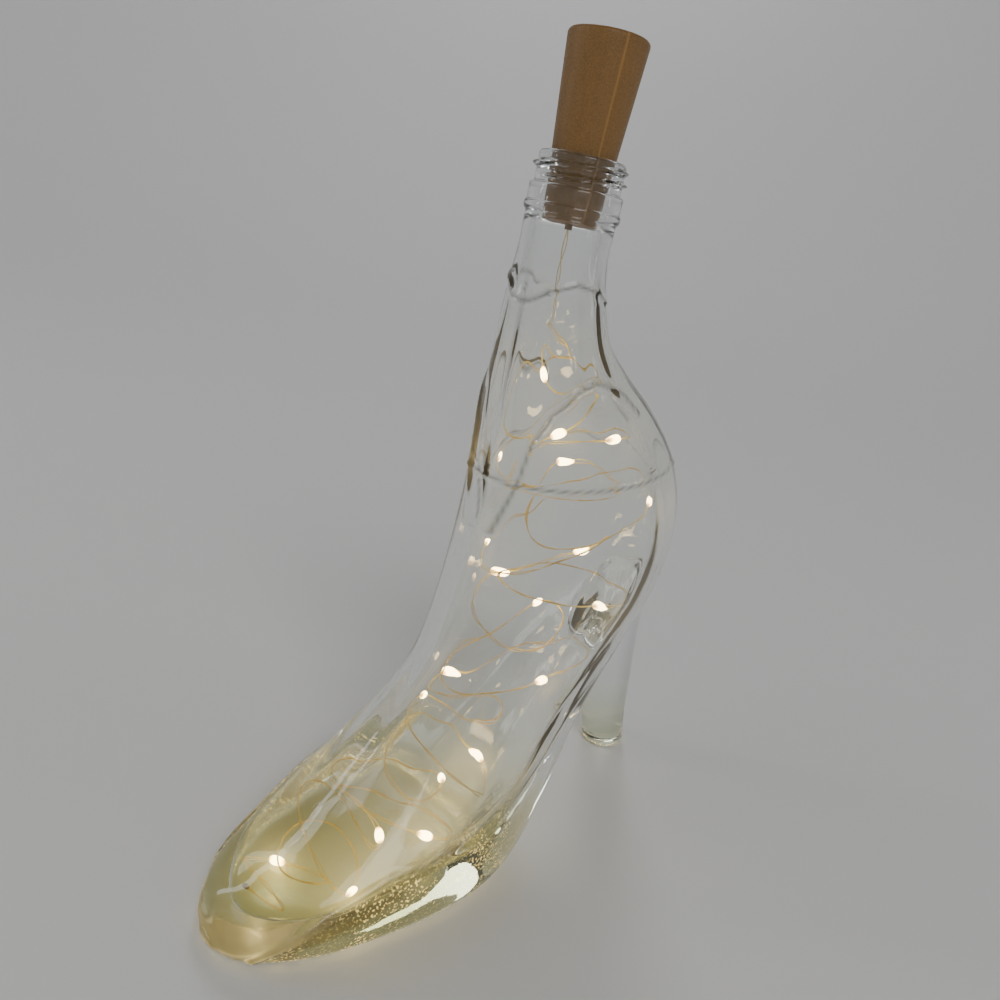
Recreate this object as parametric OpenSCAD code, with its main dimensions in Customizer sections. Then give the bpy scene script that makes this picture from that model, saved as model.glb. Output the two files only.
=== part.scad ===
// Bottle light: a cork-shaped battery stopper with a string of LEDs on thin wire,
// in a clear glass bottle shaped like a high-heeled shoe.
// All sizes in millimetres, +Z up, toe towards -X, heel towards +X.
// The origin lies on the ground under the middle of the shoe's length.

/* [Shoe body] */
// Toe tip to the back of the heel
shoe_length = 208; // [150:1:260]
// Widest place of the forefoot
shoe_width = 70; // [50:1:90]
// Ground to the underside of the neck bead
body_height = 224.5; // [170:0.5:280]
// Toe tip to the axis of the neck
toe_to_neck = 95; // [80:1:110]
// Thickness of the glass wall
glass_wall = 3.6; // [2.4:0.1:5]
// Solid glass under the forefoot
sole_thickness = 17; // [9:0.5:20]

/* [Heel leg] */
// Length of the heel tip along the shoe
heel_tip_length = 21; // [14:0.5:26]
// Width of the heel tip across the shoe
heel_tip_width = 19; // [12:0.5:24]
// Rounding at the foot of the heel
heel_edge = 2.4; // [0.8:0.1:4]

/* [Neck finish] */
// Outside diameter of the neck
neck_d = 27; // [24:0.5:30]
// Diameter of the bore at the mouth
bore_d = 19; // [18.9:0.1:20.4]
// Height of the finish, from the bead's underside to the mouth
finish_height = 16.5; // [14:0.5:20]
// Outside diameter of the bead
bead_d = 28.7; // [27.5:0.1:31]
// Outside diameter of the band above the bead
band_d = 27.7; // [26.5:0.1:29]
// Outside diameter of the wall between the thread ridges
lip_d = 25.4; // [24.5:0.1:26.4]
// Outside diameter over the thread ridges
thread_d = 28; // [26.8:0.1:29]
// Rise of the thread in one turn
thread_pitch = 3.2; // [2.6:0.1:3.8]
// Turns of the thread
thread_turns = 1.6; // [1:0.1:1.8]

/* [Cork stopper] */
// Length of the stopper
cork_length = 48; // [47:0.5:60]
// Diameter of its top
cork_top_d = 23; // [22.4:0.1:26]
// Diameter of its lower end
cork_bottom_d = 16.5; // [16.3:0.05:17]
// How deep it sits in the neck
cork_depth = 17; // [14:0.5:18]
// Rounding of the top rim
cork_rim = 1.4; // [0.6:0.1:2]
// Thickness of the stopper's floor
cork_floor = 2.4; // [1.6:0.1:3]
// Length of the strain relief stub below the stopper
stub_length = 2.7; // [1.5:0.1:5]
// Diameter of the strain relief stub
stub_d = 2.2; // [1.6:0.1:3]

/* [Batteries] */
// Diameter of a button cell
cell_d = 11.6; // [11:0.05:11.65]
// Height of a button cell
cell_h = 5.4; // [4.8:0.1:5.6]
// Working height of the contact spring
spring_h = 2.4; // [1.8:0.1:3]
// Diameter of the spring's wire
spring_wire_d = 0.5; // [0.3:0.05:0.6]
// Thickness of the contact strips
strip_t = 0.4; // [0.3:0.05:0.5]
// Width of the contact strips
strip_w = 2.2; // [1.6:0.1:2.8]

/* [Switch and board] */
// Thickness of the circuit board
board_t = 1; // [0.8:0.1:1.6]
// Diameter of the circuit board
board_d = 15.4; // [14:0.1:15.6]
// Length of the switch
switch_l = 8.6; // [7.6:0.1:9]
// Width of the switch
switch_w = 4.4; // [3.6:0.1:5]
// Height of the switch frame
switch_h = 3.4; // [3:0.1:3.6]
// Travel of the switch knob
switch_travel = 2; // [1.2:0.1:2.4]
// Length of the knob
knob_l = 1.8; // [1.4:0.1:2]
// Thickness of the sheet of the switch frame
frame_t = 0.35; // [0.25:0.05:0.45]

/* [Light string] */
// Width of the twin wire
wire_d = 0.6; // [0.5:0.05:0.8]
// Distance between lights along the wire
light_pitch = 100; // [80:5:120]
// Number of lights
light_count = 20; // [10:1:20]
// Diameter of a resin drop
drop_d = 3; // [2.4:0.1:3.6]
// Length of a resin drop
drop_l = 5.6; // [4.6:0.1:7]
// Length of a light chip
chip_l = 1.6; // [1.2:0.1:2]

/* [Clearances] */
// Gap between the stopper and the bore, and between the drops and the glass
loose_gap = 0.3; // [0.2:0.05:0.5]
// Gap between parts that slide in each other, on each side
slide_gap = 0.08; // [0.05:0.01:0.1]

/* [Hidden] */

// Overrun of every cut
over = 0.5;
// Facets of true round shapes
$fn = 64;

// Places along the shoe
neck_x = toe_to_neck - shoe_length / 2;
neck_r = neck_d / 2;
bore_r = bore_d / 2;
mouth_z = body_height + finish_height;
cork_z = mouth_z - cork_depth;
cork_top_z = cork_z + cork_length;

// Loft of the shoe. Each row is one section, from the ankle down to the toe:
// front point (along, up), back point (along, up), half width, and how square
// the front and the back half of the section are. Along is counted from the
// toe tip as a share of the shoe's length, up as a share of the body's height,
// and the width as a share of half the shoe's width.
section_shares = [
    [0.389, 0.895, 0.531, 0.915, 0.43, 2, 2],
    [0.389, 0.812, 0.565, 0.855, 0.50, 2, 2],
    [0.390, 0.732, 0.627, 0.810, 0.60, 2, 2],
    [0.391, 0.652, 0.726, 0.750, 0.72, 2, 2],
    [0.390, 0.573, 0.820, 0.672, 0.82, 2, 2],
    [0.383, 0.497, 0.880, 0.569, 0.87, 2, 2],
    [0.367, 0.425, 0.878, 0.450, 0.82, 2, 2.2],
    [0.341, 0.352, 0.809, 0.337, 0.74, 2, 2.6],
    [0.306, 0.291, 0.707, 0.226, 0.75, 2, 3.2],
    [0.266, 0.232, 0.602, 0.108, 0.90, 2, 4],
    [0.222, 0.183, 0.486, 0.015, 1.00, 2, 6],
    [0.176, 0.145, 0.367, -0.005, 0.99, 2, 8],
    [0.125, 0.113, 0.251, -0.005, 0.89, 2, 8],
    [0.074, 0.086, 0.148, -0.005, 0.74, 2, 7],
    [0.032, 0.063, 0.069, -0.005, 0.53, 2, 5],
    [0.008, 0.038, 0.024, -0.002, 0.33, 2, 3],
    [0, 0.022, 0.001, 0.005, 0.12, 2, 2]
];
// Share of the sole's thickness that lies under the cavity at each of these rows
floor_shares = [0, 0, 0, 0, 0, 0, 0.2, 0.3, 0.45, 0.7, 0.95, 1, 0.85, 0.62, 0.46, 0.4, 0.4];
// Rows of the straight neck above them, and how far below the finish they start
neck_row_shares = [0.02, -0.004, -0.042];
// Rows where the cavity starts, where it begins to round off, and where it ends
cavity_first_row = -0.2;
cavity_round_row = 15.2;
cavity_end_row = 17.2;

// Heel leg, slice by slice: front, back and height as shares of the shoe's length
// and the body's height, and its width as a share of the heel tip's
heel_shares = [
    [0.870, 0.972, 0.09, 1.02],
    [0.842, 0.951, 0.18, 1.06],
    [0.790, 0.931, 0.27, 1.15],
    [0.730, 0.914, 0.34, 1.35],
    [0.680, 0.896, 0.40, 1.65],
    [0.660, 0.877, 0.46, 1.75]
];

// Rings and sides of the glass
rings_per_row = 3;
glass_sides = 30;
cavity_sides = 24;

// A row of the loft in millimetres
function shoe_row(share) = [
    share[0] * shoe_length - toe_to_neck,
    share[1] * body_height,
    share[2] * shoe_length - toe_to_neck,
    share[3] * body_height,
    share[4] * shoe_width / 2,
    share[5],
    share[6]
];
function neck_row(share) = [
    -neck_r, body_height * (1 + share), neck_r, body_height * (1 + share), neck_r, 2, 2
];
rows = concat(
    [for (share = neck_row_shares) neck_row(share)],
    [for (share = section_shares) shoe_row(share)]
);
floors = concat(
    [for (share = neck_row_shares) 0],
    [for (share = floor_shares) share * sole_thickness]
);
// The neck's cavity is a little wider than the bore, the rest keeps the glass wall
walls = concat(
    [for (share = neck_row_shares) neck_r - bore_r - loose_gap],
    [for (share = floor_shares) glass_wall]
);
last_row = len(rows) - 1;

// Smooth curve through a list of rows at place t, with straight ends
function row_at(list, i) =
    i < 0 ? 2 * list[0] - list[1]
    : i > len(list) - 1 ? 2 * list[len(list) - 1] - list[len(list) - 2]
    : list[i];
function smooth(list, t) =
    let (
        i = min(max(floor(t), 0), len(list) - 2),
        s = t - i,
        a = row_at(list, i - 1),
        b = list[i],
        c = list[i + 1],
        d = row_at(list, i + 2)
    )
    b + s * (c - a) / 2
    + s * s * (2 * a - 5 * b + 4 * c - d) / 2
    + s * s * s * (3 * b - a - 3 * c + d) / 2;

// Power that keeps the sign
function signed_pow(v, p) = sign(v) * pow(abs(v), p);
// Share of the chord and of the half width that a section has at an angle
function across(row, angle) =
    let (power = 2 / (cos(angle) >= 0 ? row[5] : row[6]))
    [(1 - signed_pow(cos(angle), power)) / 2, signed_pow(sin(angle), power)];
// Point of a section, flattened where it would reach below the ground
function section_point(row, angle) =
    let (
        share = across(row, angle),
        ground = row[3] < 0 ? row[1] / (row[1] - row[3]) : 1,
        c = min(share[0], ground)
    )
    [
        row[0] + (row[2] - row[0]) * c,
        -row[4] * share[1],
        row[1] + (row[3] - row[1]) * c
    ];
function ring(row, sides) = [for (k = [0 : sides - 1]) section_point(row, 360 * k / sides)];

// Way that the front line (column 0) or the back line (column 2) runs at place t
line_step = 0.05;
function heading(t, column) =
    let (
        before = smooth(rows, t - line_step),
        after = smooth(rows, t + line_step),
        way = [after[column] - before[column], after[column + 1] - before[column + 1]]
    )
    way / norm(way);
// Half width of a row at a share of its chord
function width_at(row, share) =
    let (off = min(1, abs(1 - 2 * share)), n = share < 0.5 ? row[5] : row[6])
    row[4] * pow(1 - pow(off, n), 1 / n);

// The cavity's row: the outer front and back lines moved in square to themselves by
// the wall, or by the sole's glass, and its width by the wall. It rounds off at the toe.
function cavity_row(t) =
    let (
        outer = smooth(rows, t),
        wall = smooth(walls, t),
        below = max(wall, smooth(floors, t)),
        front_way = heading(t, 0),
        back_way = heading(t, 2),
        front = [outer[0] - wall * front_way[1], outer[1] + wall * front_way[0]],
        back = [outer[2] + below * back_way[1], max(0, outer[3]) - below * back_way[0]],
        chord = back - front,
        middle = (front + back) / 2,
        outer_chord = [outer[2] - outer[0], outer[3] - outer[1]],
        share = (middle - [outer[0], outer[1]]) * outer_chord / (outer_chord * outer_chord),
        past = max(0, t - cavity_round_row) / (cavity_end_row - cavity_round_row),
        rounding = sqrt(max(0.0001, 1 - past * past))
    )
    [
        middle[0] - chord[0] / 2 * rounding,
        middle[1] - chord[1] / 2 * rounding,
        middle[0] + chord[0] / 2 * rounding,
        middle[1] + chord[1] / 2 * rounding,
        max(0, width_at(outer, share) - wall) * rounding,
        2,
        min(outer[6], 3)
    ];

// Closed skin through equal rings of points
module skin(points, sides) {
    count = len(points) / sides;
    last = count - 1;
    polyhedron(
        points = points,
        faces = concat(
            [for (i = [0 : last - 1]) for (k = [0 : sides - 1])
                [i * sides + k, i * sides + (k + 1) % sides, (i + 1) * sides + (k + 1) % sides]],
            [for (i = [0 : last - 1]) for (k = [0 : sides - 1])
                [i * sides + k, (i + 1) * sides + (k + 1) % sides, (i + 1) * sides + k]],
            [[for (k = [sides - 1 : -1 : 0]) k]],
            [[for (k = [0 : sides - 1]) last * sides + k]]
        )
    );
}

// Glass bottle
outer_rings = last_row * rings_per_row;
cavity_rows = cavity_end_row - cavity_first_row;
cavity_steps = floor(cavity_rows * rings_per_row * 0.8);
module shoe_skin() {
    skin(
        [for (i = [0 : outer_rings]) each ring(smooth(rows, i / rings_per_row), glass_sides)],
        glass_sides
    );
}
module shoe_cavity() {
    skin(
        [for (i = [0 : cavity_steps])
            each ring(cavity_row(cavity_first_row + cavity_rows * i / cavity_steps), cavity_sides)],
        cavity_sides
    );
}

// One slice of the heel leg: an oval plate from its front to its back
slice_t = 0.2;
module heel_slice(front, back, up, width) {
    translate([(front + back) / 2, 0, up])
        scale([(back - front) / width, 1, 1])
            cylinder(d = width, h = slice_t, $fn = 32);
}
heel_back = shoe_length - toe_to_neck;
heel_places = concat(
    [
        [heel_back - heel_tip_length + heel_edge, heel_back - heel_edge, 0,
            heel_tip_width - 2 * heel_edge],
        [heel_back - heel_tip_length, heel_back, heel_edge, heel_tip_width]
    ],
    [for (share = heel_shares) [
        share[0] * shoe_length - toe_to_neck,
        share[1] * shoe_length - toe_to_neck,
        share[2] * body_height,
        share[3] * heel_tip_width
    ]]
);
module heel_leg() {
    for (i = [0 : len(heel_places) - 2])
        hull() {
            heel_slice(
                heel_places[i][0], heel_places[i][1], heel_places[i][2], heel_places[i][3]
            );
            heel_slice(
                heel_places[i + 1][0], heel_places[i + 1][1],
                heel_places[i + 1][2], heel_places[i + 1][3]
            );
        }
}

// Neck finish: bead, band, wall of the thread, rounded lip and true bore
lip_r = lip_d / 2;
band_r = band_d / 2;
bead_r = bead_d / 2;
bead_height = 2.9;
bead_slope = 0.9;
band_top = 7.8;
band_slope = 0.7;
lip_round = 1.2;
mouth_round = 0.5;
finish_outline = concat(
    [
        [bore_r, 0],
        [neck_r - loose_gap, 0],
        [bead_r, bead_slope],
        [bead_r, bead_height - bead_slope],
        [band_r, bead_height],
        [band_r, band_top - band_slope],
        [lip_r, band_top]
    ],
    [for (a = [0 : 30 : 90])
        [lip_r - lip_round * (1 - cos(a)), finish_height - lip_round * (1 - sin(a))]],
    [for (a = [0 : 30 : 90])
        [bore_r + mouth_round * (1 - sin(a)), finish_height - mouth_round * (1 - cos(a))]]
);
module neck_finish() {
    translate([0, 0, body_height])
        rotate_extrude()
            polygon(finish_outline);
}

// Thread ridge: a trapezoid that climbs round the wall, right-handed, and fades out at both ends
thread_rings = 30;
thread_foot = 0.95;
thread_crest = 0.4;
thread_root_r = lip_r - loose_gap;
thread_top = 1.9;
thread_fade_share = 0.12;
function thread_point(share, side) =
    let (
        a = 360 * thread_turns * share,
        fade = min(1, min(share, 1 - share) / thread_fade_share),
        crest_r = thread_root_r + (thread_d / 2 - thread_root_r) * max(fade, 0.35),
        r = side == 0 || side == 3 ? thread_root_r : crest_r,
        up = side == 0 ? -thread_foot : side == 1 ? -thread_crest
            : side == 2 ? thread_crest : thread_foot
    )
    [
        r * cos(a),
        -r * sin(a),
        mouth_z - thread_top - thread_pitch * thread_turns * share + up
    ];
module thread_ridge() {
    steps = ceil(thread_rings * thread_turns);
    skin(
        [for (i = [0 : steps]) for (side = [3 : -1 : 0]) thread_point(i / steps, side)],
        4
    );
}

// The moulded body is brought to its stated length and width before the finish joins it
module glass_bottle() {
    color([0.83, 0.88, 0.85, 0.4])
        translate([neck_x, 0, 0]) {
            resize([shoe_length, shoe_width, 0])
                difference() {
                    union() {
                        shoe_skin();
                        heel_leg();
                    }
                    shoe_cavity();
                }
            neck_finish();
            thread_ridge();
        }
}

// Stopper, in its own height counted from the cork's lower face
cork_bottom_r = cork_bottom_d / 2;
cork_top_r = cork_top_d / 2;
cork_edge = 0.5;
carrier_wall = 0.85;
carrier_r = cell_d / 2 + slide_gap + carrier_wall;
carrier_bore_r = carrier_r + slide_gap;
carrier_floor = 1.2;
contact_room = 2.2;
carrier_z = cork_floor + contact_room;
cell_z = carrier_z + carrier_floor + spring_h;
plate_z = cell_z + 3 * cell_h;
web_z = plate_z + strip_t;
web_t = 1.2;
head_wall = 1.2;
head_gap = 0.2;
head_inner_r = board_d / 2 + head_gap;
head_r = head_inner_r + head_wall;
head_bore_r = head_r + slide_gap;
head_recess = 1.2;
head_floor = 1.2;
pin_room = 1;
cover_t = 1.4;
cover_ledge = 0.5;
knob_above = 0.6;
knob_room = 2.4;
head_h = head_floor + pin_room + board_t + switch_h + knob_room + cover_t;
head_z = cork_length - head_recess - head_h;
board_z = head_z + head_floor + pin_room;
switch_z = board_z + board_t;
cover_z = head_z + head_h - cover_t;
relief_neck_d = 1.6;
flange_d = 3.6;
flange_t = 0.5;

// Puts a stopper piece at its place in the neck
module in_stopper() {
    translate([neck_x, 0, cork_z])
        children();
}

cork_outline = concat(
    [
        [relief_neck_d / 2, 0],
        [cork_bottom_r - cork_edge, 0],
        [cork_bottom_r, cork_edge]
    ],
    [for (a = [0 : 18 : 90])
        [cork_top_r - cork_rim * (1 - cos(a)), cork_length - cork_rim * (1 - sin(a))]],
    [
        [head_bore_r, cork_length],
        [head_bore_r, head_z],
        [carrier_bore_r, head_z],
        [carrier_bore_r, cork_floor],
        [relief_neck_d / 2, cork_floor]
    ]
);
module cork_shell() {
    color([0.72, 0.57, 0.38])
        in_stopper()
            rotate_extrude()
                polygon(cork_outline);
}

// Battery carrier: a half tube with a floor and a web, under a round head
strip_x = carrier_r - strip_t - slide_gap * 2;
tab_x = cell_d / 4;
slot_gap = 0.1;
module strip_slot(x, z, h) {
    translate([x - slot_gap, -strip_w / 2 - slot_gap, z])
        cube([strip_t + 2 * slot_gap, strip_w + 2 * slot_gap, h]);
}
module cradle() {
    difference() {
        translate([0, 0, carrier_z])
            cylinder(r = carrier_r, h = head_z - carrier_z + head_floor);
        translate([0, 0, carrier_z + carrier_floor])
            cylinder(r = cell_d / 2 + slide_gap, h = web_z - carrier_z - carrier_floor);
        translate([-carrier_r - over, -carrier_r - over, carrier_z + carrier_floor])
            cube([carrier_r + over, 2 * carrier_r + 2 * over, web_z - carrier_z - carrier_floor]);
        translate([0, 0, web_z + web_t])
            cylinder(r = cell_d / 2 + slide_gap, h = head_z - web_z - web_t + head_floor + over);
    }
}
module head() {
    difference() {
        translate([0, 0, head_z])
            cylinder(r = head_r, h = head_h);
        translate([0, 0, head_z + head_floor])
            cylinder(r = head_inner_r - cover_ledge, h = pin_room + over);
        translate([0, 0, board_z])
            cylinder(r = head_inner_r, h = head_h);
        translate([0, 0, cover_z])
            cylinder(r = head_inner_r + cover_ledge, h = cover_t + over);
        translate([0, 0, head_z - over])
            cylinder(r = cell_d / 2 + slide_gap - carrier_wall, h = head_floor + 2 * over);
    }
}
module battery_carrier() {
    color([0.30, 0.27, 0.24])
        in_stopper()
            difference() {
                union() {
                    cradle();
                    head();
                }
                strip_slot(tab_x, web_z - over, web_t + 2 * over);
                translate([strip_x, -strip_w / 2 - slot_gap, carrier_z - over])
                    cube([carrier_r, strip_w + 2 * slot_gap, head_z - carrier_z + over]);
                strip_slot(strip_x, head_z - over, head_floor + 2 * over);
                translate([0, 0, carrier_z - over])
                    cylinder(d = rivet_d + 2 * slot_gap, h = carrier_floor + 2 * over);
            }
}

// Head cover with the knob's slot and a nail groove
slot_l = knob_l + switch_travel + 4 * slide_gap;
knob_w = switch_w * 0.45;
groove_w = 1;
groove_l = 5;
groove_depth = 0.6;
module head_cover() {
    color([0.72, 0.57, 0.38])
        in_stopper()
            difference() {
                translate([0, 0, cover_z])
                    cylinder(r = head_inner_r + cover_ledge - slide_gap, h = cover_t);
                translate([-slot_l / 2, -knob_w / 2 - 2 * slide_gap, cover_z - over])
                    cube([slot_l, knob_w + 4 * slide_gap, cover_t + 2 * over]);
                translate([-groove_l / 2, switch_w, cover_z + cover_t - groove_depth])
                    cube([groove_l, groove_w, groove_depth + over]);
            }
}

// Circuit board with the holes of the switch terminals
terminal_pitch = 2.5;
terminal_t = 0.3;
terminal_w = 0.6;
terminal_below = 0.8;
terminal_hole_d = 0.9;
module circuit_board() {
    color([0.12, 0.36, 0.2])
        in_stopper()
            difference() {
                translate([0, 0, board_z])
                    cylinder(d = board_d, h = board_t);
                for (i = [-1 : 1])
                    translate([i * terminal_pitch, 0, board_z - over])
                        cylinder(d = terminal_hole_d, h = board_t + 2 * over, $fn = 24);
            }
}

// Slide switch: bent sheet frame, base, knob and terminals
base_t = 1;
frame_slot_l = knob_l + switch_travel + 3 * slide_gap;
module switch_frame() {
    color([0.78, 0.79, 0.8])
        in_stopper()
            difference() {
                translate([-switch_l / 2, -switch_w / 2, switch_z])
                    cube([switch_l, switch_w, switch_h]);
                translate([-switch_l / 2 + frame_t, -switch_w / 2 + frame_t, switch_z - over])
                    cube([switch_l - 2 * frame_t, switch_w - 2 * frame_t, switch_h - frame_t + over]);
                translate([-frame_slot_l / 2, -knob_w / 2 - slide_gap, switch_z])
                    cube([frame_slot_l, knob_w + 2 * slide_gap, switch_h + over]);
            }
}
module switch_base() {
    color([0.45, 0.3, 0.16])
        in_stopper()
            translate([-switch_l / 2 + frame_t, -switch_w / 2 + frame_t, switch_z])
                cube([switch_l - 2 * frame_t, switch_w - 2 * frame_t, base_t]);
}
slider_l = switch_l - 2 * frame_t - switch_travel - 2 * slide_gap;
slider_w = switch_w - 2 * frame_t - 2 * slide_gap;
slider_h = switch_h - frame_t - base_t - 2 * slide_gap;
knob_h = frame_t + slide_gap + knob_room + cover_t + knob_above;
knob_ribs = 3;
knob_groove = 0.25;
module switch_slider() {
    color([0.1, 0.1, 0.1])
        in_stopper()
            translate([-switch_travel / 2, 0, switch_z + base_t + slide_gap]) {
                translate([-slider_l / 2, -slider_w / 2, 0])
                    cube([slider_l, slider_w, slider_h]);
                translate([-knob_l / 2, -knob_w / 2, slider_h])
                    difference() {
                        cube([knob_l, knob_w, knob_h]);
                        for (i = [1 : knob_ribs - 1])
                            translate([
                                knob_l * i / knob_ribs - knob_groove / 2,
                                -over,
                                knob_h - knob_groove
                            ])
                                cube([knob_groove, knob_w + 2 * over, knob_groove + over]);
                    }
            }
}
module switch_terminals() {
    color([0.8, 0.78, 0.7])
        in_stopper()
            for (i = [-1 : 1])
                translate([
                    i * terminal_pitch - terminal_w / 2,
                    -terminal_t / 2,
                    board_z - terminal_below
                ])
                    cube([terminal_w, terminal_t, board_t + terminal_below]);
}

// Chip resistor beside the switch, with its two metal ends
resistor_l = 3.2;
resistor_w = 1.6;
resistor_h = 0.6;
resistor_end = 0.5;
resistor_skin = 0.05;
resistor_y = switch_w;
module resistor() {
    color([0.15, 0.15, 0.17])
        in_stopper()
            translate([-resistor_l / 2, resistor_y, switch_z]) {
                translate([resistor_end, resistor_skin, 0])
                    cube([resistor_l - 2 * resistor_end, resistor_w - 2 * resistor_skin, resistor_h]);
                cube([resistor_end, resistor_w, resistor_h + resistor_skin]);
                translate([resistor_l - resistor_end, 0, 0])
                    cube([resistor_end, resistor_w, resistor_h + resistor_skin]);
            }
}

// Button cell: a can with a rounded edge and a narrower, raised cap below
cell_cap_share = 0.8;
cell_cap_h = 0.5;
cell_edge = 0.5;
module button_cell(index) {
    color([0.8, 0.8, 0.79])
        in_stopper()
            translate([0, 0, cell_z + index * cell_h])
                rotate_extrude()
                    polygon([
                        [0, 0],
                        [cell_d / 2 * cell_cap_share, 0],
                        [cell_d / 2 * cell_cap_share, cell_cap_h],
                        [cell_d / 2, cell_cap_h],
                        [cell_d / 2, cell_h - cell_edge],
                        [cell_d / 2 - cell_edge, cell_h],
                        [0, cell_h]
                    ]);
}
module button_cell_1() button_cell(0);
module button_cell_2() button_cell(1);
module button_cell_3() button_cell(2);

// Frames that follow a path of points without twisting
function unit(v) = v / norm(v);
function directions(path) = [for (i = [0 : len(path) - 1])
    unit(path[min(i + 1, len(path) - 1)] - path[max(i - 1, 0)])];
function first_side(d) = unit(cross(d, abs(d[2]) < 0.9 ? [0, 0, 1] : [1, 0, 0]));
function carried_side(side, d) = unit(side - (side * d) * d);
function tube_points(path, r, sides) =
    let (ds = directions(path))
    [for (
        i = 0, side = first_side(ds[0]);
        i < len(path);
        i = i + 1, side = i < len(path) ? carried_side(side, ds[i]) : side
    ) each [for (k = [0 : sides - 1])
        path[i] + r * (cos(360 * k / sides) * side - sin(360 * k / sides) * cross(ds[i], side))]];
module tube(path, r, sides) {
    skin(tube_points(path, r, sides), sides);
}

// Contact spring: a conical coil on the wide head of its rivet
rivet_d = 1.8;
seat_t = 0.3;
spring_base_r = cell_d * 0.36;
spring_top_r = cell_d * 0.18;
spring_turns = 2.5;
spring_rings = 8;
spring_z = carrier_z + carrier_floor;
spring_path = [for (i = [0 : spring_turns * spring_rings])
    let (
        share = i / (spring_turns * spring_rings),
        r = spring_base_r + (spring_top_r - spring_base_r) * share,
        a = 360 * spring_turns * share
    )
    [
        r * cos(a),
        r * sin(a),
        spring_z + seat_t + (spring_wire_d - seat_t) / 2
            + (spring_h - spring_wire_d - seat_t / 2) * share
    ]];
module contact_spring() {
    color([0.85, 0.83, 0.75])
        in_stopper() {
            tube(spring_path, spring_wire_d / 2, 6);
            translate([0, 0, spring_z])
                cylinder(r = spring_base_r + spring_wire_d / 2, h = seat_t);
            translate([0, 0, carrier_z - strip_t])
                cylinder(d = rivet_d, h = carrier_floor + strip_t + seat_t);
        }
}

// Contact plate on the top cell, with its tab up to the board
module contact_plate() {
    color([0.85, 0.83, 0.75])
        in_stopper() {
            translate([0, 0, plate_z])
                cylinder(r = cell_d / 2 - 2 * cell_edge, h = strip_t);
            translate([tab_x, -strip_w / 2, plate_z])
                cube([strip_t, strip_w, board_z - plate_z]);
        }
}

// Return strip down the carrier, with its foot under the carrier's floor
strip_foot = 2;
module return_strip() {
    color([0.85, 0.83, 0.75])
        in_stopper() {
            translate([strip_x, -strip_w / 2, carrier_z - strip_t])
                cube([strip_t, strip_w, board_z - carrier_z + strip_t]);
            translate([strip_x - strip_foot, -strip_w / 2, carrier_z - strip_t])
                cube([strip_foot + strip_t, strip_w, strip_t]);
        }
}

// Floor contacts of the shell: bent strips, the outline in the plane of their length
contact_top = carrier_z - strip_t - slide_gap;
foot_out = carrier_bore_r - 2 * slide_gap - strip_t;
foot_in = cell_d * 0.26;
pad_w = 1.5;
centre_outline = [
    [-foot_out, cork_floor],
    [-foot_in, cork_floor],
    [-rivet_d / 2, contact_top - strip_t],
    [rivet_d / 2, contact_top - strip_t],
    [rivet_d / 2, contact_top],
    [-rivet_d / 2 - strip_t / 2, contact_top],
    [-foot_in - strip_t / 2, cork_floor + strip_t],
    [-foot_out, cork_floor + strip_t]
];
side_outline = [
    [foot_in, cork_floor],
    [foot_out - strip_t, cork_floor],
    [foot_out, contact_top - strip_t],
    [foot_out, contact_top],
    [foot_out - strip_foot, contact_top],
    [foot_out - strip_foot, contact_top - strip_t],
    [foot_out - strip_t, contact_top - strip_t],
    [foot_out - 2 * strip_t, cork_floor + strip_t],
    [foot_in, cork_floor + strip_t]
];
module bent_strip(outline) {
    rotate([90, 0, 0])
        linear_extrude(height = strip_w, center = true)
            polygon(outline);
}
pad_l = strip_w;
module contact_pad(x) {
    translate([x, strip_w / 2, cork_floor])
        cube([pad_l, pad_w, strip_t]);
}
module centre_contact() {
    color([0.85, 0.83, 0.75])
        in_stopper() {
            bent_strip(centre_outline);
            contact_pad(-foot_in - pad_l);
        }
}
module side_contact() {
    color([0.85, 0.83, 0.75])
        in_stopper() {
            bent_strip(side_outline);
            contact_pad(foot_in);
        }
}

// Solder joints on the pads, and the two leads that reach them
joint_r = 0.6;
joint_y = strip_w / 2 + pad_w / 2;
joint_x = foot_in + pad_l / 2;
module solder_joints() {
    color([0.75, 0.76, 0.78])
        in_stopper()
            for (side = [-1, 1])
                translate([side * joint_x, joint_y, cork_floor + strip_t])
                    difference() {
                        sphere(r = joint_r, $fn = 24);
                        translate([-joint_r - over, -joint_r - over, -joint_r - over])
                            cube([2 * (joint_r + over), 2 * (joint_r + over), joint_r + over]);
                    }
}
lead_r = wire_d / 4;
lead_z = cork_floor + flange_t + lead_r;
module inner_leads() {
    color([0.8, 0.72, 0.55])
        in_stopper()
            for (side = [-1, 1])
                tube(
                    [
                        [side * lead_r * 2, 0, lead_z],
                        [side * lead_r * 4, joint_y / 2, lead_z],
                        [side * joint_x / 2, joint_y, lead_z],
                        [side * (joint_x - joint_r), joint_y, cork_floor + strip_t + lead_r * 2]
                    ],
                    lead_r,
                    8
                );
}

// Strain relief: flange on the floor, neck through the hole and stub below
module strain_relief() {
    color([0.62, 0.5, 0.34])
        in_stopper() {
            translate([0, 0, cork_floor])
                cylinder(d = flange_d, h = flange_t);
            cylinder(d = relief_neck_d, h = cork_floor + flange_t);
            translate([0, 0, -stub_length])
                cylinder(d = stub_d, h = stub_length);
        }
}

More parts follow.
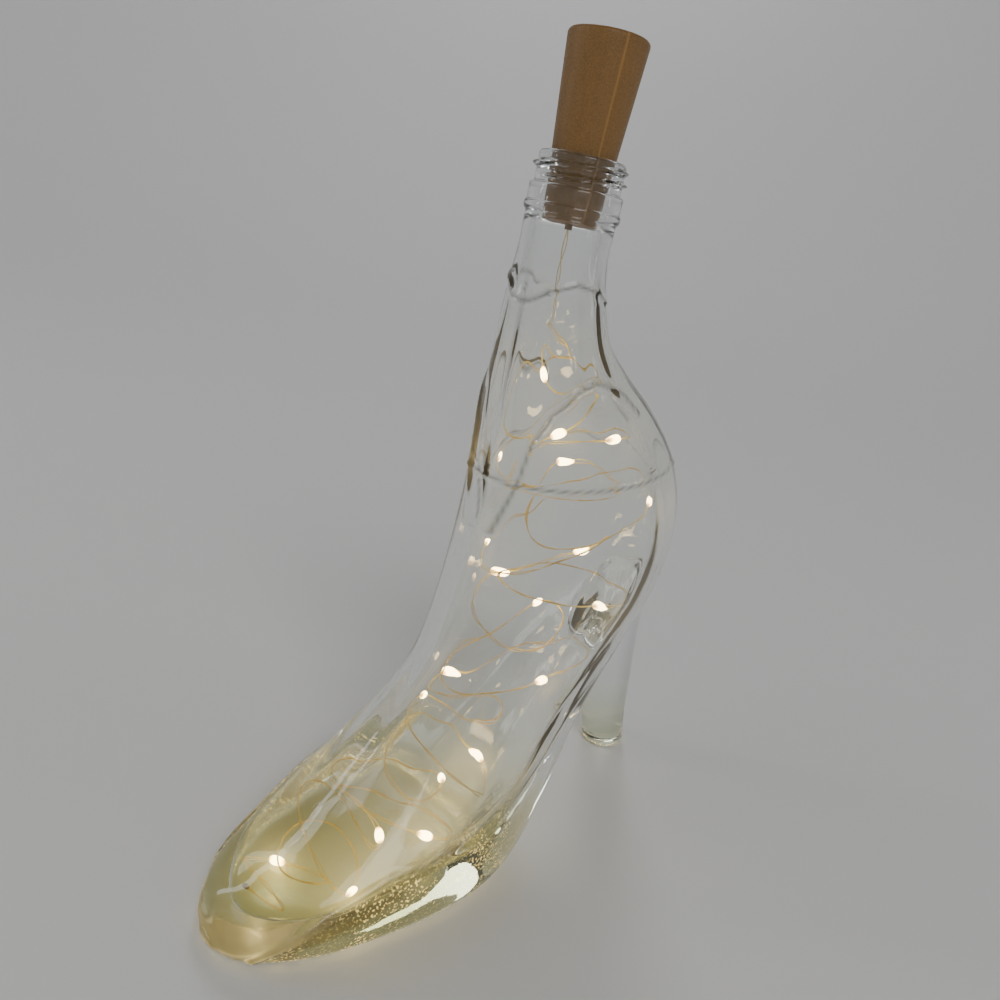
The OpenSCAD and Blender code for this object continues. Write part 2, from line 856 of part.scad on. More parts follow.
// Light string. The loops wind down the cavity: their place along it is counted in
// rows of the loft, their reach is a share of the room there, and both wander.
loop_length = 112;
string_length = light_count * light_pitch;
loops = min(24, max(8, round(string_length / loop_length)));
loop_rings = 24;
first_loop_row = 3.35;
last_loop_row = 16.7;
reach_share = 0.66;
reach_wander_share = 0.26;
row_wander = 0.3;
row_wander_turns = 1.29;
reach_wander_turns = 0.53;
function loop_point(s) =
    let (
        a = 360 * loops * s,
        t = first_loop_row + (last_loop_row - first_loop_row) * s
            + row_wander * sin(a * row_wander_turns + 40) * min(1, min(s, 1 - s) * 20),
        row = cavity_row(t),
        margin = drop_d / 2 + loose_gap,
        reach = (reach_share + reach_wander_share * sin(a * reach_wander_turns + 20)) * min(1, s * 12),
        chord = [row[2] - row[0], row[3] - row[1]],
        room = norm(chord) / 2,
        along = max(0, room - margin) / room * reach * cos(a + 30),
        side = max(0, row[4] - margin) * reach * sin(a + 30)
    )
    [
        (row[0] + row[2]) / 2 + chord[0] / 2 * along + neck_x,
        side,
        (row[1] + row[3]) / 2 + chord[1] / 2 * along
    ];
loop_steps = loops * loop_rings;
string_path = [for (i = [0 : loop_steps]) loop_point(i / loop_steps)];
string_start = string_path[0];
start_direction = unit(string_path[1] - string_start);

// Lead wire: from the stub down to the first loop, its points given as shares of its
// drop, counted from the stub. Its end runs straight into the loop.
stub_z = cork_z - stub_length;
lead_drop = stub_z - string_start[2];
lead_end_share = 0.19;
// Along, across and down
lead_shares = [
    [0, 0, 0],
    [-0.004, -0.004, 0.2],
    [-0.035, -0.025, 0.41],
    [-0.035, -0.04, 0.62]
];
lead_path = concat(
    [for (share = lead_shares)
        [neck_x, 0, stub_z] + [share[0], share[1], -share[2]] * lead_drop],
    [string_start - start_direction * lead_end_share * lead_drop, string_start]
);
module lead_wire() {
    color([0.8, 0.72, 0.55])
        tube([for (i = [0 : 0.5 : len(lead_path) - 1]) smooth(lead_path, i)], wire_d / 2, 8);
}

// Length along the path up to each point
function lengths(path) = [for (
    i = 0, sum = 0;
    i < len(path);
    i = i + 1, sum = sum + (i < len(path) ? norm(path[i] - path[i - 1]) : 0)
) sum];
string_lengths = lengths(string_path);
path_length = string_lengths[loop_steps];
function index_at(l, low, high) =
    high - low <= 1 ? low
    : let (middle = floor((low + high) / 2))
        string_lengths[middle] <= l ? index_at(l, middle, high) : index_at(l, low, middle);

// Least gap of the wire to itself, from each point to each stretch further on
function stretch_gap(p, a, b) =
    let (ab = b - a, s = min(1, max(0, (p - a) * ab / (ab * ab))))
    norm(p - a - s * ab);
function least_gap(path, skip) = min([for (i = [0 : len(path) - 2 - skip])
    min([for (j = [i + skip : len(path) - 2]) stretch_gap(path[i], path[j], path[j + 1])])])
    - wire_d;
// Least gap between a drop and the stretches of wire that pass it
function drop_gap(k) =
    let (place = light_place(k), l = light_step * (k + 0.5))
    min([for (along = [-0.4, 0, 0.4])
        min([for (j = [0 : loop_steps - 1])
            if (abs(string_lengths[j] - l) > light_step / 4)
                stretch_gap(
                    place[0] + place[1] * drop_l * along, string_path[j], string_path[j + 1]
                )])])
    - wire_d / 2 - drop_d / 2;
module light_wire() {
    echo("least gap of the wire to itself", least_gap(string_path, floor(loop_rings / 3)));
    echo("least gap of a drop to the wire", min([for (k = [0 : light_count - 1]) drop_gap(k)]));
    echo("length of the loops", path_length, "loops", loops);
    color([0.8, 0.72, 0.55])
        tube(string_path, wire_d / 2, 6);
}

// Places of the lights: equal steps along the wire
light_step = path_length / light_count;
function light_place(k) =
    let (
        l = light_step * (k + 0.5),
        i = index_at(l, 0, loop_steps),
        a = string_path[i],
        b = string_path[i + 1]
    )
    [a + (b - a) * (l - string_lengths[i]) / norm(b - a), unit(b - a)];
drop_shares = [[-0.5, 0.2], [-0.4, 0.68], [-0.2, 0.97], [0.12, 1], [0.36, 0.74], [0.5, 0.2]];
drop_sides = 8;
module led_drops() {
    color([1, 0.93, 0.72])
        for (k = [0 : light_count - 1])
            let (
                place = light_place(k),
                side = first_side(place[1]),
                other = cross(place[1], side)
            )
                skin(
                    [for (share = drop_shares) for (j = [0 : drop_sides - 1])
                        place[0] + place[1] * drop_l * share[0]
                        + drop_d / 2 * share[1] * (
                            cos(360 * j / drop_sides) * side - sin(360 * j / drop_sides) * other
                        )],
                    drop_sides
                );
}

// Light chips, one in each drop beside the wire
chip_w = chip_l / 2;
chip_h = 0.5;
module led_chips() {
    color([0.95, 0.85, 0.3])
        for (k = [0 : light_count - 1])
            let (
                place = light_place(k),
                side = first_side(place[1]),
                other = cross(place[1], side)
            )
                multmatrix([
                    [place[1][0], side[0], other[0], place[0][0]],
                    [place[1][1], side[1], other[1], place[0][1]],
                    [place[1][2], side[2], other[2], place[0][2]],
                    [0, 0, 0, 1]
                ])
                    translate([-chip_l / 2, -chip_w / 2, wire_d / 2])
                        cube([chip_l, chip_w, chip_h]);
}

// End seal: a small blob that closes the end of the wire
seal_d = 1.6;
seal_l = 2.4;
string_end = string_path[loop_steps];
end_direction = unit(string_end - string_path[loop_steps - 1]);
seal_shares = [[0, 0.6], [0.25, 1], [0.75, 1], [1, 0.5]];
module end_seal() {
    color([0.62, 0.5, 0.34])
        let (side = first_side(end_direction), other = cross(end_direction, side))
            skin(
                [for (share = seal_shares) for (j = [0 : drop_sides - 1])
                    string_end + end_direction * seal_l * share[0]
                    + seal_d / 2 * share[1] * (
                        cos(360 * j / drop_sides) * side - sin(360 * j / drop_sides) * other
                    )],
                drop_sides
            );
}

glass_bottle();
cork_shell();
battery_carrier();
head_cover();
circuit_board();
switch_frame();
switch_base();
switch_slider();
switch_terminals();
resistor();
button_cell_1();
button_cell_2();
button_cell_3();
contact_spring();
contact_plate();
return_strip();
centre_contact();
side_contact();
solder_joints();
inner_leads();
strain_relief();
lead_wire();
light_wire();
led_drops();
led_chips();
end_seal();
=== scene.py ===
"""Bottle light: a cork-shaped battery stopper with a string of LEDs in a glass shoe.

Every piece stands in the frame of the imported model: metres, +Z up, the toe towards
-X, the heel towards +X, the origin on the ground under the middle of the shoe.
"""

import logging
import math
from dataclasses import dataclass, field
from enum import Enum
from functools import cache
from typing import Optional, Sequence, Union

import bpy
import numpy as np
from mathutils import Matrix, Vector

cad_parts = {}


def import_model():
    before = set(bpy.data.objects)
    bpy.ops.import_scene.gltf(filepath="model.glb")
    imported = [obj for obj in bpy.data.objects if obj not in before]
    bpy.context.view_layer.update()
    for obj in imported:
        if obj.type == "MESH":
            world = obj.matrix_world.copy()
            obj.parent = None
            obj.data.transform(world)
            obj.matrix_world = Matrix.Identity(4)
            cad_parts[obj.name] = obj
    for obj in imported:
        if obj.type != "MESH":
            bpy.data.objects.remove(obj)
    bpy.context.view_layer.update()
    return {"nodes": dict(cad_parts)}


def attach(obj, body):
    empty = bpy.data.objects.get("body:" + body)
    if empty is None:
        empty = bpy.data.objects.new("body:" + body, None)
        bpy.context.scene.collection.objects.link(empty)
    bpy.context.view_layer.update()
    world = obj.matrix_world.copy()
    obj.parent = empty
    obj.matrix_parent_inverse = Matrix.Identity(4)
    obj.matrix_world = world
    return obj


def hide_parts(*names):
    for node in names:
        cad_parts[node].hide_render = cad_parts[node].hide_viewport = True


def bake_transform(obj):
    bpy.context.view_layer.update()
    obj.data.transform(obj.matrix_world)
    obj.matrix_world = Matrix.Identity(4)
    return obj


LOG = logging.getLogger("bottle_light")
MM = 0.001
# a prime above the micrometres of any side, so that each place gets a number of its own
KEY_STEP = 2000003

Colour = tuple[float, float, float]
Line = tuple[tuple[float, float], ...]
Array = np.ndarray


class Body(Enum):
    """The bodies of the frame that a new piece rides on."""

    BOTTLE = "bottle"
    STOPPER = "stopper"


class Slot(Enum):
    """The record's material slots."""

    GLASS = "clear_glass"
    TAN = "tan_plastic"
    DARK = "dark_plastic"
    BOARD = "board_green"
    STEEL = "bright_steel"
    LAMINATE = "phenolic"
    BLACK = "black_plastic"
    NICKEL = "nickel"
    CELL = "cell_steel"
    SOLDER = "solder"
    WIRE = "wire_copper"
    LIT = "lit_resin"
    CHIP = "chip_yellow"
    RESIN = "clear_resin"


# ---------------------------------------------------------------- shader arithmetic


class Sheet:
    """The node tree of one material, with one shader at its end."""

    def __init__(self, name: str) -> None:
        """Start a material of that name with a Principled shader."""
        self.material = bpy.data.materials.new(name)
        self.material.use_nodes = True
        self.tree = self.material.node_tree
        self.shader = self.tree.nodes["Principled BSDF"]

    def node(
        self,
        kind: str,
        settings: Optional[dict[str, object]] = None,
        inputs: Optional[dict[Union[int, str], object]] = None,
    ) -> bpy.types.Node:
        """Make any node.

        Args:
            kind: Blender's name of the node's type.
            settings: values of the node's own properties.
            inputs: numbers, colours or Values for its input sockets.

        Returns:
            The node.
        """
        made = self.tree.nodes.new(kind)
        for key, value in (settings or {}).items():
            setattr(made, key, value)
        for key, value in (inputs or {}).items():
            self.feed(made.inputs[key], value)
        return made

    def feed(self, socket: bpy.types.NodeSocket, value: object) -> None:
        """Link a Value to a socket, or set the socket's own number or colour.

        Args:
            socket: the input socket.
            value: a Value, or a plain number or colour.
        """
        if isinstance(value, Value):
            self.tree.links.new(value.socket, socket)
        elif isinstance(value, (tuple, list)) and socket.type == "RGBA":
            socket.default_value = (*value[:3], 1.0)
        else:
            socket.default_value = value

    def out(self, made: bpy.types.Node, key: Union[int, str] = 0) -> "Value":
        """Wrap an output socket of a node."""
        return Value(self, made.outputs[key])

    def place(self) -> "Value":
        """Wrap the place on the object, in metres."""
        return self.out(self.node("ShaderNodeTexCoord"), "Object")

    def scaled(
        self, place: "Value", scale: Sequence[float], move: Sequence[float] = (0, 0, 0)
    ) -> "Value":
        """Stretch and move a pattern's place.

        Args:
            place: the place to stretch.
            scale: factors along X, Y and Z.
            move: what is added after the stretch.

        Returns:
            The new place.
        """
        made = self.node(
            "ShaderNodeMapping",
            inputs={"Vector": place, "Scale": tuple(scale), "Location": tuple(move)},
        )
        return self.out(made)

    def part(self, place: "Value", axis: str) -> "Value":
        """Wrap one of X, Y or Z of a vector."""
        return self.out(self.node("ShaderNodeSeparateXYZ", inputs={0: place}), axis)

    def attribute(self, name: str) -> "Value":
        """Wrap a number that the mesh carries at its points."""
        made = self.node("ShaderNodeAttribute", {"attribute_name": name})
        return self.out(made, "Fac")

    def noise(
        self, place: "Value", scale: float, detail: float = 3.0, rough: float = 0.5
    ) -> "Value":
        """Smooth random values from 0 to 1 that repeat about `scale` times a metre."""
        made = self.node(
            "ShaderNodeTexNoise",
            inputs={"Vector": place, "Scale": scale, "Detail": detail, "Roughness": rough},
        )
        return self.out(made, "Fac")

    def cells(self, place: "Value", scale: float) -> "Value":
        """Distance to the middle of the nearest random cell."""
        made = self.node("ShaderNodeTexVoronoi", inputs={"Vector": place, "Scale": scale})
        return self.out(made, "Distance")

    def mix(self, share: object, low: object, high: object) -> "Value":
        """Blend two colours by a share.

        Args:
            share: a Value or number from 0 to 1.
            low: the colour at 0.
            high: the colour at 1.

        Returns:
            The blended colour.
        """
        made = self.node("ShaderNodeMix", {"data_type": "RGBA"})
        for key, value in ((0, share), (6, low), (7, high)):
            self.feed(made.inputs[key], value)
        return self.out(made, 2)

    def bump(
        self, height: "Value", distance: float, strength: float = 1.0,
        under: Optional["Value"] = None,
    ) -> "Value":
        """Turn a height into a normal.

        Args:
            height: the height, from 0 to 1.
            distance: how many metres a height of 1 is.
            strength: how much of it shows.
            under: a normal that this one goes over.

        Returns:
            The normal.
        """
        inputs: dict[Union[int, str], object] = {
            "Height": height, "Distance": distance, "Strength": strength,
        }
        if under is not None:
            inputs["Normal"] = under
        return self.out(self.node("ShaderNodeBump", inputs=inputs))

    def dress(self, **values: object) -> None:
        """Set or link the shader's sockets, underscores standing for spaces."""
        for key, value in values.items():
            self.feed(self.shader.inputs[key.replace("_", " ")], value)


class Value:
    """A number in a node tree; plain arithmetic on it makes the Math nodes."""

    def __init__(self, sheet: Sheet, socket: bpy.types.NodeSocket) -> None:
        """Wrap an output socket."""
        self.sheet = sheet
        self.socket = socket

    def math(self, operation: str, *values: object) -> "Value":
        """Put values through a Math node.

        Args:
            operation: the node's operation.
            values: its operands, in order.

        Returns:
            The result.
        """
        made = self.sheet.node(
            "ShaderNodeMath", {"operation": operation}, dict(enumerate(values))
        )
        return self.sheet.out(made)

    def __add__(self, other: object) -> "Value":
        """Add."""
        return self.math("ADD", self, other)

    def __mul__(self, other: object) -> "Value":
        """Multiply."""
        return self.math("MULTIPLY", self, other)

    __radd__, __rmul__ = __add__, __mul__

    def __pow__(self, other: object) -> "Value":
        """Raise to a power."""
        return self.math("POWER", self, other)

    def __rpow__(self, other: object) -> "Value":
        """Raise a number to this power."""
        return self.math("POWER", other, self)

    def __abs__(self) -> "Value":
        """Leave out the sign."""
        return self.math("ABSOLUTE", self)

    def sine(self) -> "Value":
        """Sine of a value in radians."""
        return self.math("SINE", self)

    def ramp(self, low: float, high: float, start: float = 0.0, end: float = 1.0) -> "Value":
        """Ease from `start` at `low` to `end` at `high`, and stay there past either."""
        made = self.sheet.node(
            "ShaderNodeMapRange", {"interpolation_type": "SMOOTHSTEP"},
            {"Value": self, "From Min": low, "From Max": high,
             "To Min": start, "To Max": end},
        )
        return self.sheet.out(made)


# ---------------------------------------------------------------- finishes


@dataclass(frozen=True)
class Finish:
    """One real finish: a slot of the record and how its surface is dressed."""

    name: str
    slot: Slot
    colour: Colour = (0.5, 0.5, 0.5)
    roughness: float = 0.5

    def toned(self, share: float) -> Colour:
        """The finish's colour, darker below a share of 1 and paler above it."""
        red, green, blue = (min(1.0, part * share) for part in self.colour)
        return red, green, blue

    def dress(self, sheet: Sheet) -> None:
        """Set the shader of this finish on its sheet."""
        sheet.dress(Base_Color=self.colour, Roughness=self.roughness)

    @cache
    def material(self) -> bpy.types.Material:
        """Make the material of this finish, once."""
        sheet = Sheet(self.name)
        self.dress(sheet)
        sheet.material.diffuse_color = (*self.colour, 1.0)
        return sheet.material


@dataclass(frozen=True)
class MouldedGlass(Finish):
    """Thick clear moulded glass: slow waves, faint flow lines and a stippled foot.

    The string's light on the fine texture inside and on the stippling is painted as a glow.
    How much reaches a point is worked out beforehand and stored as the attribute "lit".
    """

    ior: float = 1.5
    wave_height: float = 0.00022
    stipple_height: float = 0.0003
    stipple_foot: float = 0.0004
    stipple_low: float = 0.0014
    stipple_top: float = 0.0034
    # colours of the painted glow: inside the glass, and on the foot and the sole's side
    painted_glow_colour: Colour = (1.0, 0.74, 0.3)
    painted_foot_glow_colour: Colour = (1.0, 0.72, 0.2)
    green: Colour = (0.81, 0.85, 0.62)
    # painted shade colour of the sole's side
    painted_sole_shade: Colour = (0.34, 0.36, 0.16)
    # painted shade colour of the raised lines
    shade: Colour = (0.1, 0.095, 0.07)
    green_below: float = 0.05
    insole_glow: float = 0.36
    wall_glow: float = 0.26
    # strength of the painted glints on the foot
    painted_foot_glints: float = 0.75
    glow: float = 2.2

    def dress(self, sheet: Sheet) -> None:
        """Waves, stippling, a painted glow and painted glints, and painted shade on the raised
        lines and the sole.
        """
        place = sheet.place()
        waves = sheet.noise(sheet.scaled(place, (1.0, 1.0, 0.35)), 70.0, 2.0)
        flow = sheet.noise(sheet.scaled(place, (1.0, 1.0, 0.06)), 260.0, 2.0)
        up = sheet.part(place, "Z")
        ring = up.ramp(self.stipple_foot, self.stipple_low) * up.ramp(
            self.stipple_low, self.stipple_top, 1, 0
        )
        foot = ring * sheet.attribute("foot")
        lit, panel = sheet.attribute("lit"), sheet.attribute("panel")
        dots = sheet.cells(place, 1100.0).ramp(0.1, 0.55, 1.0, 0.0)
        orange_peel = sheet.noise(place, 900.0, 3.0)
        first = sheet.bump(waves * 0.8 + flow * 0.2, self.wave_height, 0.5)
        second = sheet.bump(
            dots * foot + orange_peel * panel * 0.25, self.stipple_height, 0.8, first
        )
        # painted glints: sparkling points of emission on the stippled foot and the sole's side
        clusters = sheet.noise(place, 90.0, 2.0).ramp(0.44, 0.62)
        glint_grains = sheet.noise(place, 1150.0, 1.0).ramp(0.54, 0.7)
        painted_glints = glint_grains * (
            foot * self.painted_foot_glints + sheet.attribute("sole") * (clusters * 0.5 + 0.07)
        )
        # painted glow: the string's light on the inner glass, painted as emission from "lit"
        painted_glow = (lit * panel * self.insole_glow + lit**1.5 * self.wall_glow) * (
            orange_peel * 0.5 + 0.75
        )
        # colour of the painted glow and painted glints, gold on the foot and the sole's side
        tone = sheet.mix(foot + sheet.attribute("sole"), self.painted_glow_colour, self.painted_foot_glow_colour)
        deep = up.ramp(0.0, self.green_below, 1.0, 0.0)
        glass = sheet.mix(deep, self.colour, self.green)
        # painted shade: the sole's side darkened to olive, standing in for the dark reflections
        # on it
        glass = sheet.mix(sheet.attribute("sole"), glass, self.painted_sole_shade)
        sheet.dress(
            # painted shade: the raised lines darkened by "line", standing in for the dark edges
            # of the glass
            Base_Color=sheet.mix(sheet.attribute("line") * 0.9, glass, self.shade),
            Roughness=foot * 0.1 + panel * 0.22 + self.roughness,
            Transmission_Weight=1.0,
            IOR=self.ior,
            Emission_Color=sheet.mix(painted_glow + painted_glints, (0.0, 0.0, 0.0), tone),
            Emission_Strength=self.glow,
            Normal=second,
        )


@dataclass(frozen=True)
class CorkPlastic(Finish):
    """Satin moulded plastic in a cork's colour, faintly mottled, with fine scuffs."""

    shade: Colour = (0.14, 0.07, 0.02)
    grain: float = 0.00003

    def dress(self, sheet: Sheet) -> None:
        """Soft streaks along the height, small scuffs, a fine grain and a painted highlight
        along the parting line.
        """
        place = sheet.place()
        streaks = sheet.noise(sheet.scaled(place, (1.0, 1.0, 0.12)), 420.0, 4.0)
        clouds = sheet.noise(place, 90.0, 4.0, 0.6)
        scuffs = sheet.noise(sheet.scaled(place, (1.0, 1.0, 2.5)), 700.0, 2.0)
        fine = sheet.noise(place, 2400.0, 2.0)
        dirt = clouds.ramp(0.42, 0.75) * 0.2 + streaks.ramp(0.4, 0.8) * 0.15
        dirt = dirt + fine.ramp(0.35, 0.65) * 0.45
        plain = sheet.mix(dirt, self.colour, self.shade)
        painted_highlight = self.toned(1.7)
        sheet.dress(
            # painted highlight: paler colour along the mould's raised parting line
            Base_Color=sheet.mix(sheet.attribute("parting") * 0.6, plain, painted_highlight),
            Roughness=scuffs.ramp(0.3, 0.75) * 0.16 + self.roughness,
            Normal=sheet.bump(fine * 0.7 + streaks * 0.3, self.grain, 0.7),
        )


@dataclass(frozen=True)
class PlainPlastic(Finish):
    """Moulded plastic with a fine eroded grain and slight colour drift."""

    drift: float = 0.25
    grain: float = 0.00002

    def dress(self, sheet: Sheet) -> None:
        """A fine grain, and a colour that drifts a little."""
        place = sheet.place()
        clouds = sheet.noise(place, 220.0, 3.0)
        fine = sheet.noise(place, 5200.0, 2.0)
        darker = self.toned(1.0 - self.drift)
        sheet.dress(
            Base_Color=sheet.mix(clouds, self.colour, darker),
            Roughness=fine.ramp(0.3, 0.7) * 0.1 + self.roughness,
            Normal=sheet.bump(fine, self.grain, 0.5),
        )


@dataclass(frozen=True)
class SheetMetal(Finish):
    """Rolled or drawn metal: long fine lines along one axis and a few dull patches."""

    lines: tuple[float, float, float] = (0.05, 1.0, 1.0)
    dull: float = 0.2
    grain: float = 0.000004

    def dress(self, sheet: Sheet) -> None:
        """Rolling lines in the roughness, dull patches in colour."""
        place = sheet.place()
        rolled = sheet.noise(sheet.scaled(place, self.lines), 5200.0, 3.0)
        patches = sheet.noise(place, 420.0, 3.0).ramp(0.4, 0.75)
        darker = self.toned(0.72)
        sheet.dress(
            Base_Color=sheet.mix(patches * 0.6, self.colour, darker),
            Roughness=rolled * 0.12 + patches * self.dull + self.roughness,
            Metallic=1.0,
            Normal=sheet.bump(rolled, self.grain, 0.6),
        )


@dataclass(frozen=True)
class LacqueredWire(Finish):
    """Thin lacquered wire whose colour drifts along its length.

    The light that reaches it from the drops close by is painted on as a glow; how much is
    stored as "lit".
    """

    glow: Colour = (1.0, 0.68, 0.13)
    strength: float = 1.1

    def dress(self, sheet: Sheet) -> None:
        """Brighter and duller stretches along the strand."""
        along = sheet.attribute("along")
        slow = (along * 90.0).sine() * 0.5 + 0.5
        fine = sheet.noise(sheet.place(), 900.0, 2.0)
        darker = self.toned(0.46)
        sheet.dress(
            Base_Color=sheet.mix(slow * 0.4 + fine * 0.3, self.colour, darker),
            Roughness=fine * 0.2 + self.roughness,
            Metallic=1.0,
            # painted glow: the light of the drops close by, painted as emission
            Emission_Color=sheet.mix(sheet.attribute("lit"), (0.0, 0.0, 0.0), self.glow),
            Emission_Strength=self.strength,
        )


@dataclass(frozen=True)
class LitResin(Finish):
    """A clear resin drop that is lit from its middle."""

    glow: Colour = (1.0, 0.5, 0.1)
    heart: Colour = (1.0, 0.78, 0.38)
    strength: float = 22.0

    def dress(self, sheet: Sheet) -> None:
        """The light is whitest at the chip and falls off towards the two tails."""
        heart = sheet.attribute("heart")
        bright = heart.ramp(0.0, 0.9, 0.04, 1.0)
        tone = sheet.mix(heart, self.glow, self.heart)
        lit = sheet.mix(bright, (0.05, 0.035, 0.015), tone)
        sheet.dress(
            Base_Color=sheet.mix(heart, (0.75, 0.68, 0.52), self.colour),
            Roughness=heart * 0.1 + self.roughness,
            Emission_Color=lit,
            Emission_Strength=self.strength,
        )


@dataclass(frozen=True)
class BoardMask(Finish):
    """Green solder mask with fine copper traces under it."""

    track_height: float = 0.00003

    def dress(self, sheet: Sheet) -> None:
        """Narrow raised tracks, one way, at a steady pitch."""
        place = sheet.place()
        tracks = abs(sheet.part(place, "Y") * 2600.0).sine().ramp(0.55, 0.8)
        clouds = sheet.noise(place, 600.0, 2.0)
        lighter = self.toned(1.9)
        sheet.dress(
            Base_Color=sheet.mix(tracks * 0.6, self.colour, lighter),
            Roughness=clouds * 0.1 + self.roughness,
            Coat_Weight=tracks * 0.1 + 0.4,
            Normal=sheet.bump(tracks, self.track_height, 0.6),
        )


@dataclass(frozen=True)
class Laminate(Finish):
    """Paper laminate with its layers showing at the edge."""

    def dress(self, sheet: Sheet) -> None:
        """Thin layers along the height."""
        place = sheet.place()
        layers = (sheet.part(place, "Z") * 42000.0).sine() * 0.5 + 0.5
        fibres = sheet.noise(sheet.scaled(place, (1.0, 1.0, 6.0)), 2600.0, 3.0)
        darker = self.toned(0.55)
        sheet.dress(
            Base_Color=sheet.mix(layers * 0.4 + fibres * 0.4, self.colour, darker),
            Roughness=fibres * 0.15 + self.roughness,
        )


@dataclass(frozen=True)
class PaleFloor(Finish):
    """Plain pale backdrop with a very faint unevenness."""

    def dress(self, sheet: Sheet) -> None:
        """Almost one tone."""
        clouds = sheet.noise(sheet.place(), 2.0, 2.0)
        darker = self.toned(0.985)
        sheet.dress(
            Base_Color=sheet.mix(clouds, self.colour, darker), Roughness=self.roughness
        )


GLASS = MouldedGlass("moulded_glass", Slot.GLASS, (0.95, 0.97, 0.965), 0.012)
CORK = CorkPlastic("cork_plastic", Slot.TAN, (0.27, 0.142, 0.038), 0.42)
DARK = PlainPlastic("carrier_plastic", Slot.DARK, (0.045, 0.038, 0.032), 0.5)
BLACK = PlainPlastic("knob_plastic", Slot.BLACK, (0.012, 0.012, 0.013), 0.35)
STEEL = SheetMetal("switch_steel", Slot.STEEL, (0.74, 0.75, 0.77), 0.24)
NICKEL = SheetMetal("nickel_strip", Slot.NICKEL, (0.72, 0.68, 0.58), 0.26, (1.0, 1.0, 0.05))
CELL = SheetMetal("cell_can", Slot.CELL, (0.7, 0.7, 0.69), 0.3, (1.0, 1.0, 0.05), 0.1)
SOLDER = SheetMetal("solder", Slot.SOLDER, (0.66, 0.67, 0.69), 0.2, (1.0, 1.0, 1.0))
WIRE = LacqueredWire("lacquered_wire", Slot.WIRE, (0.93, 0.66, 0.2), 0.32)
LIT = LitResin("lit_resin", Slot.LIT, (1.0, 0.94, 0.8), 0.15)
CHIP = LitResin(
    "lit_chip", Slot.CHIP, (1.0, 0.85, 0.35), 0.4, (1.0, 0.75, 0.35), (1.0, 0.85, 0.5), 6.0
)
BOARD = BoardMask("solder_mask", Slot.BOARD, (0.012, 0.09, 0.03), 0.3)
LAMINATE = Laminate("paper_laminate", Slot.LAMINATE, (0.26, 0.14, 0.055), 0.5)
RESIN = CorkPlastic("seal_resin", Slot.RESIN, (0.45, 0.33, 0.17), 0.25)
FLOOR = PaleFloor("pale_floor", Slot.TAN, (0.8, 0.8, 0.79), 0.75)


# ---------------------------------------------------------------- surfaces


def linked(name: str, points: Array, faces: list[list[int]]) -> bpy.types.Object:
    """Make a smooth mesh object and link it to the scene.

    Args:
        name: the object's name.
        points: places in metres, one row each.
        faces: the corners of each face.

    Returns:
        The object.
    """
    mesh = bpy.data.meshes.new(name)
    mesh.from_pydata(points.tolist(), [], faces)
    mesh.polygons.foreach_set("use_smooth", np.ones(len(mesh.polygons), bool))
    mesh.update()
    made = bpy.data.objects.new(name, mesh)
    bpy.context.scene.collection.objects.link(made)
    return made


def mesh_piece(name: str, points: Array, faces: Array) -> bpy.types.Object:
    """Make a closed mesh object whose faces point outwards.

    The signed volume is the sum over the faces of the triple product of their
    corners; where it is negative, every face is turned round.

    Args:
        name: the object's name.
        points: places in metres, one row each.
        faces: rows of four corners, with the last two alike for a triangle.

    Returns:
        The object, linked to the scene.
    """
    a, b, c, d = (points[faces[:, i]] for i in range(4))
    volume = np.einsum("ij,ij->", a, np.cross(b, c)) + np.einsum("ij,ij->", a, np.cross(c, d))
    three = faces[:, 2] == faces[:, 3]
    way = -1 if volume < 0 else 1
    quads, threes = faces[~three][:, ::way], faces[three][:, :3][:, ::way]
    return linked(name, points, quads.tolist() + threes.tolist())


def ring_faces(rings: int, sides: int) -> Array:
    """Corners of the quads between closed rings, row by row, as one array.

    Quad (i, k) joins side k of ring i to side k + 1 of ring i + 1, the last side to
    the first.

    Args:
        rings: how many rings there are.
        sides: how many points each has.

    Returns:
        Rows of four corners.
    """
    i, k = np.meshgrid(np.arange(rings - 1), np.arange(sides), indexing="ij")
    n = (k + 1) % sides
    low, high = i * sides, (i + 1) * sides
    return np.stack([low + k, low + n, high + n, high + k], -1).reshape(-1, 4)


def capped(rings: Array) -> tuple[Array, Array]:
    """Close a stack of rings with a fan to the middle of its first and last ring.

    Args:
        rings: places of shape (rings, sides, 3).

    Returns:
        The points and the faces.
    """
    count, sides = rings.shape[:2]
    points = np.concatenate([rings.reshape(-1, 3), rings[:1].mean(1), rings[-1:].mean(1)])
    first, last = count * sides, count * sides + 1
    k = np.arange(sides)
    n = (k + 1) % sides
    low = np.stack([np.full(sides, first), n, k, k], -1)
    top = (count - 1) * sides
    high = np.stack([np.full(sides, last), top + k, top + n, top + n], -1)
    return points, np.concatenate([ring_faces(count, sides), low, high])


def capped_scaled(rings: Array) -> tuple[Array, Array]:
    """Close rings that are in millimetres, and bring them to metres."""
    points, faces = capped(rings)
    return points * MM, faces


def circle(sides: int) -> Array:
    """Angles that go evenly round, in radians."""
    return 2 * np.pi * np.arange(sides) / sides


def turned_rings(profile: Array, sides: int, middle: Sequence[float]) -> Array:
    """Carry a profile of (radius, height) round an upright axis.

    A point at angle a is (-r cos a, -r sin a, z) from the axis, so the first side
    faces the toe, as in the sections of the shoe.

    Args:
        profile: rows of radius and height, in millimetres.
        sides: how many points go round.
        middle: X, Y and Z of the axis's foot, in millimetres.

    Returns:
        Places of shape (rows, sides, 3), in millimetres.
    """
    a = circle(sides)
    r, z = profile[:, :1], profile[:, 1:]
    rings = np.stack([-r * np.cos(a), -r * np.sin(a), z + 0 * a], -1)
    return rings + np.asarray(middle, float)


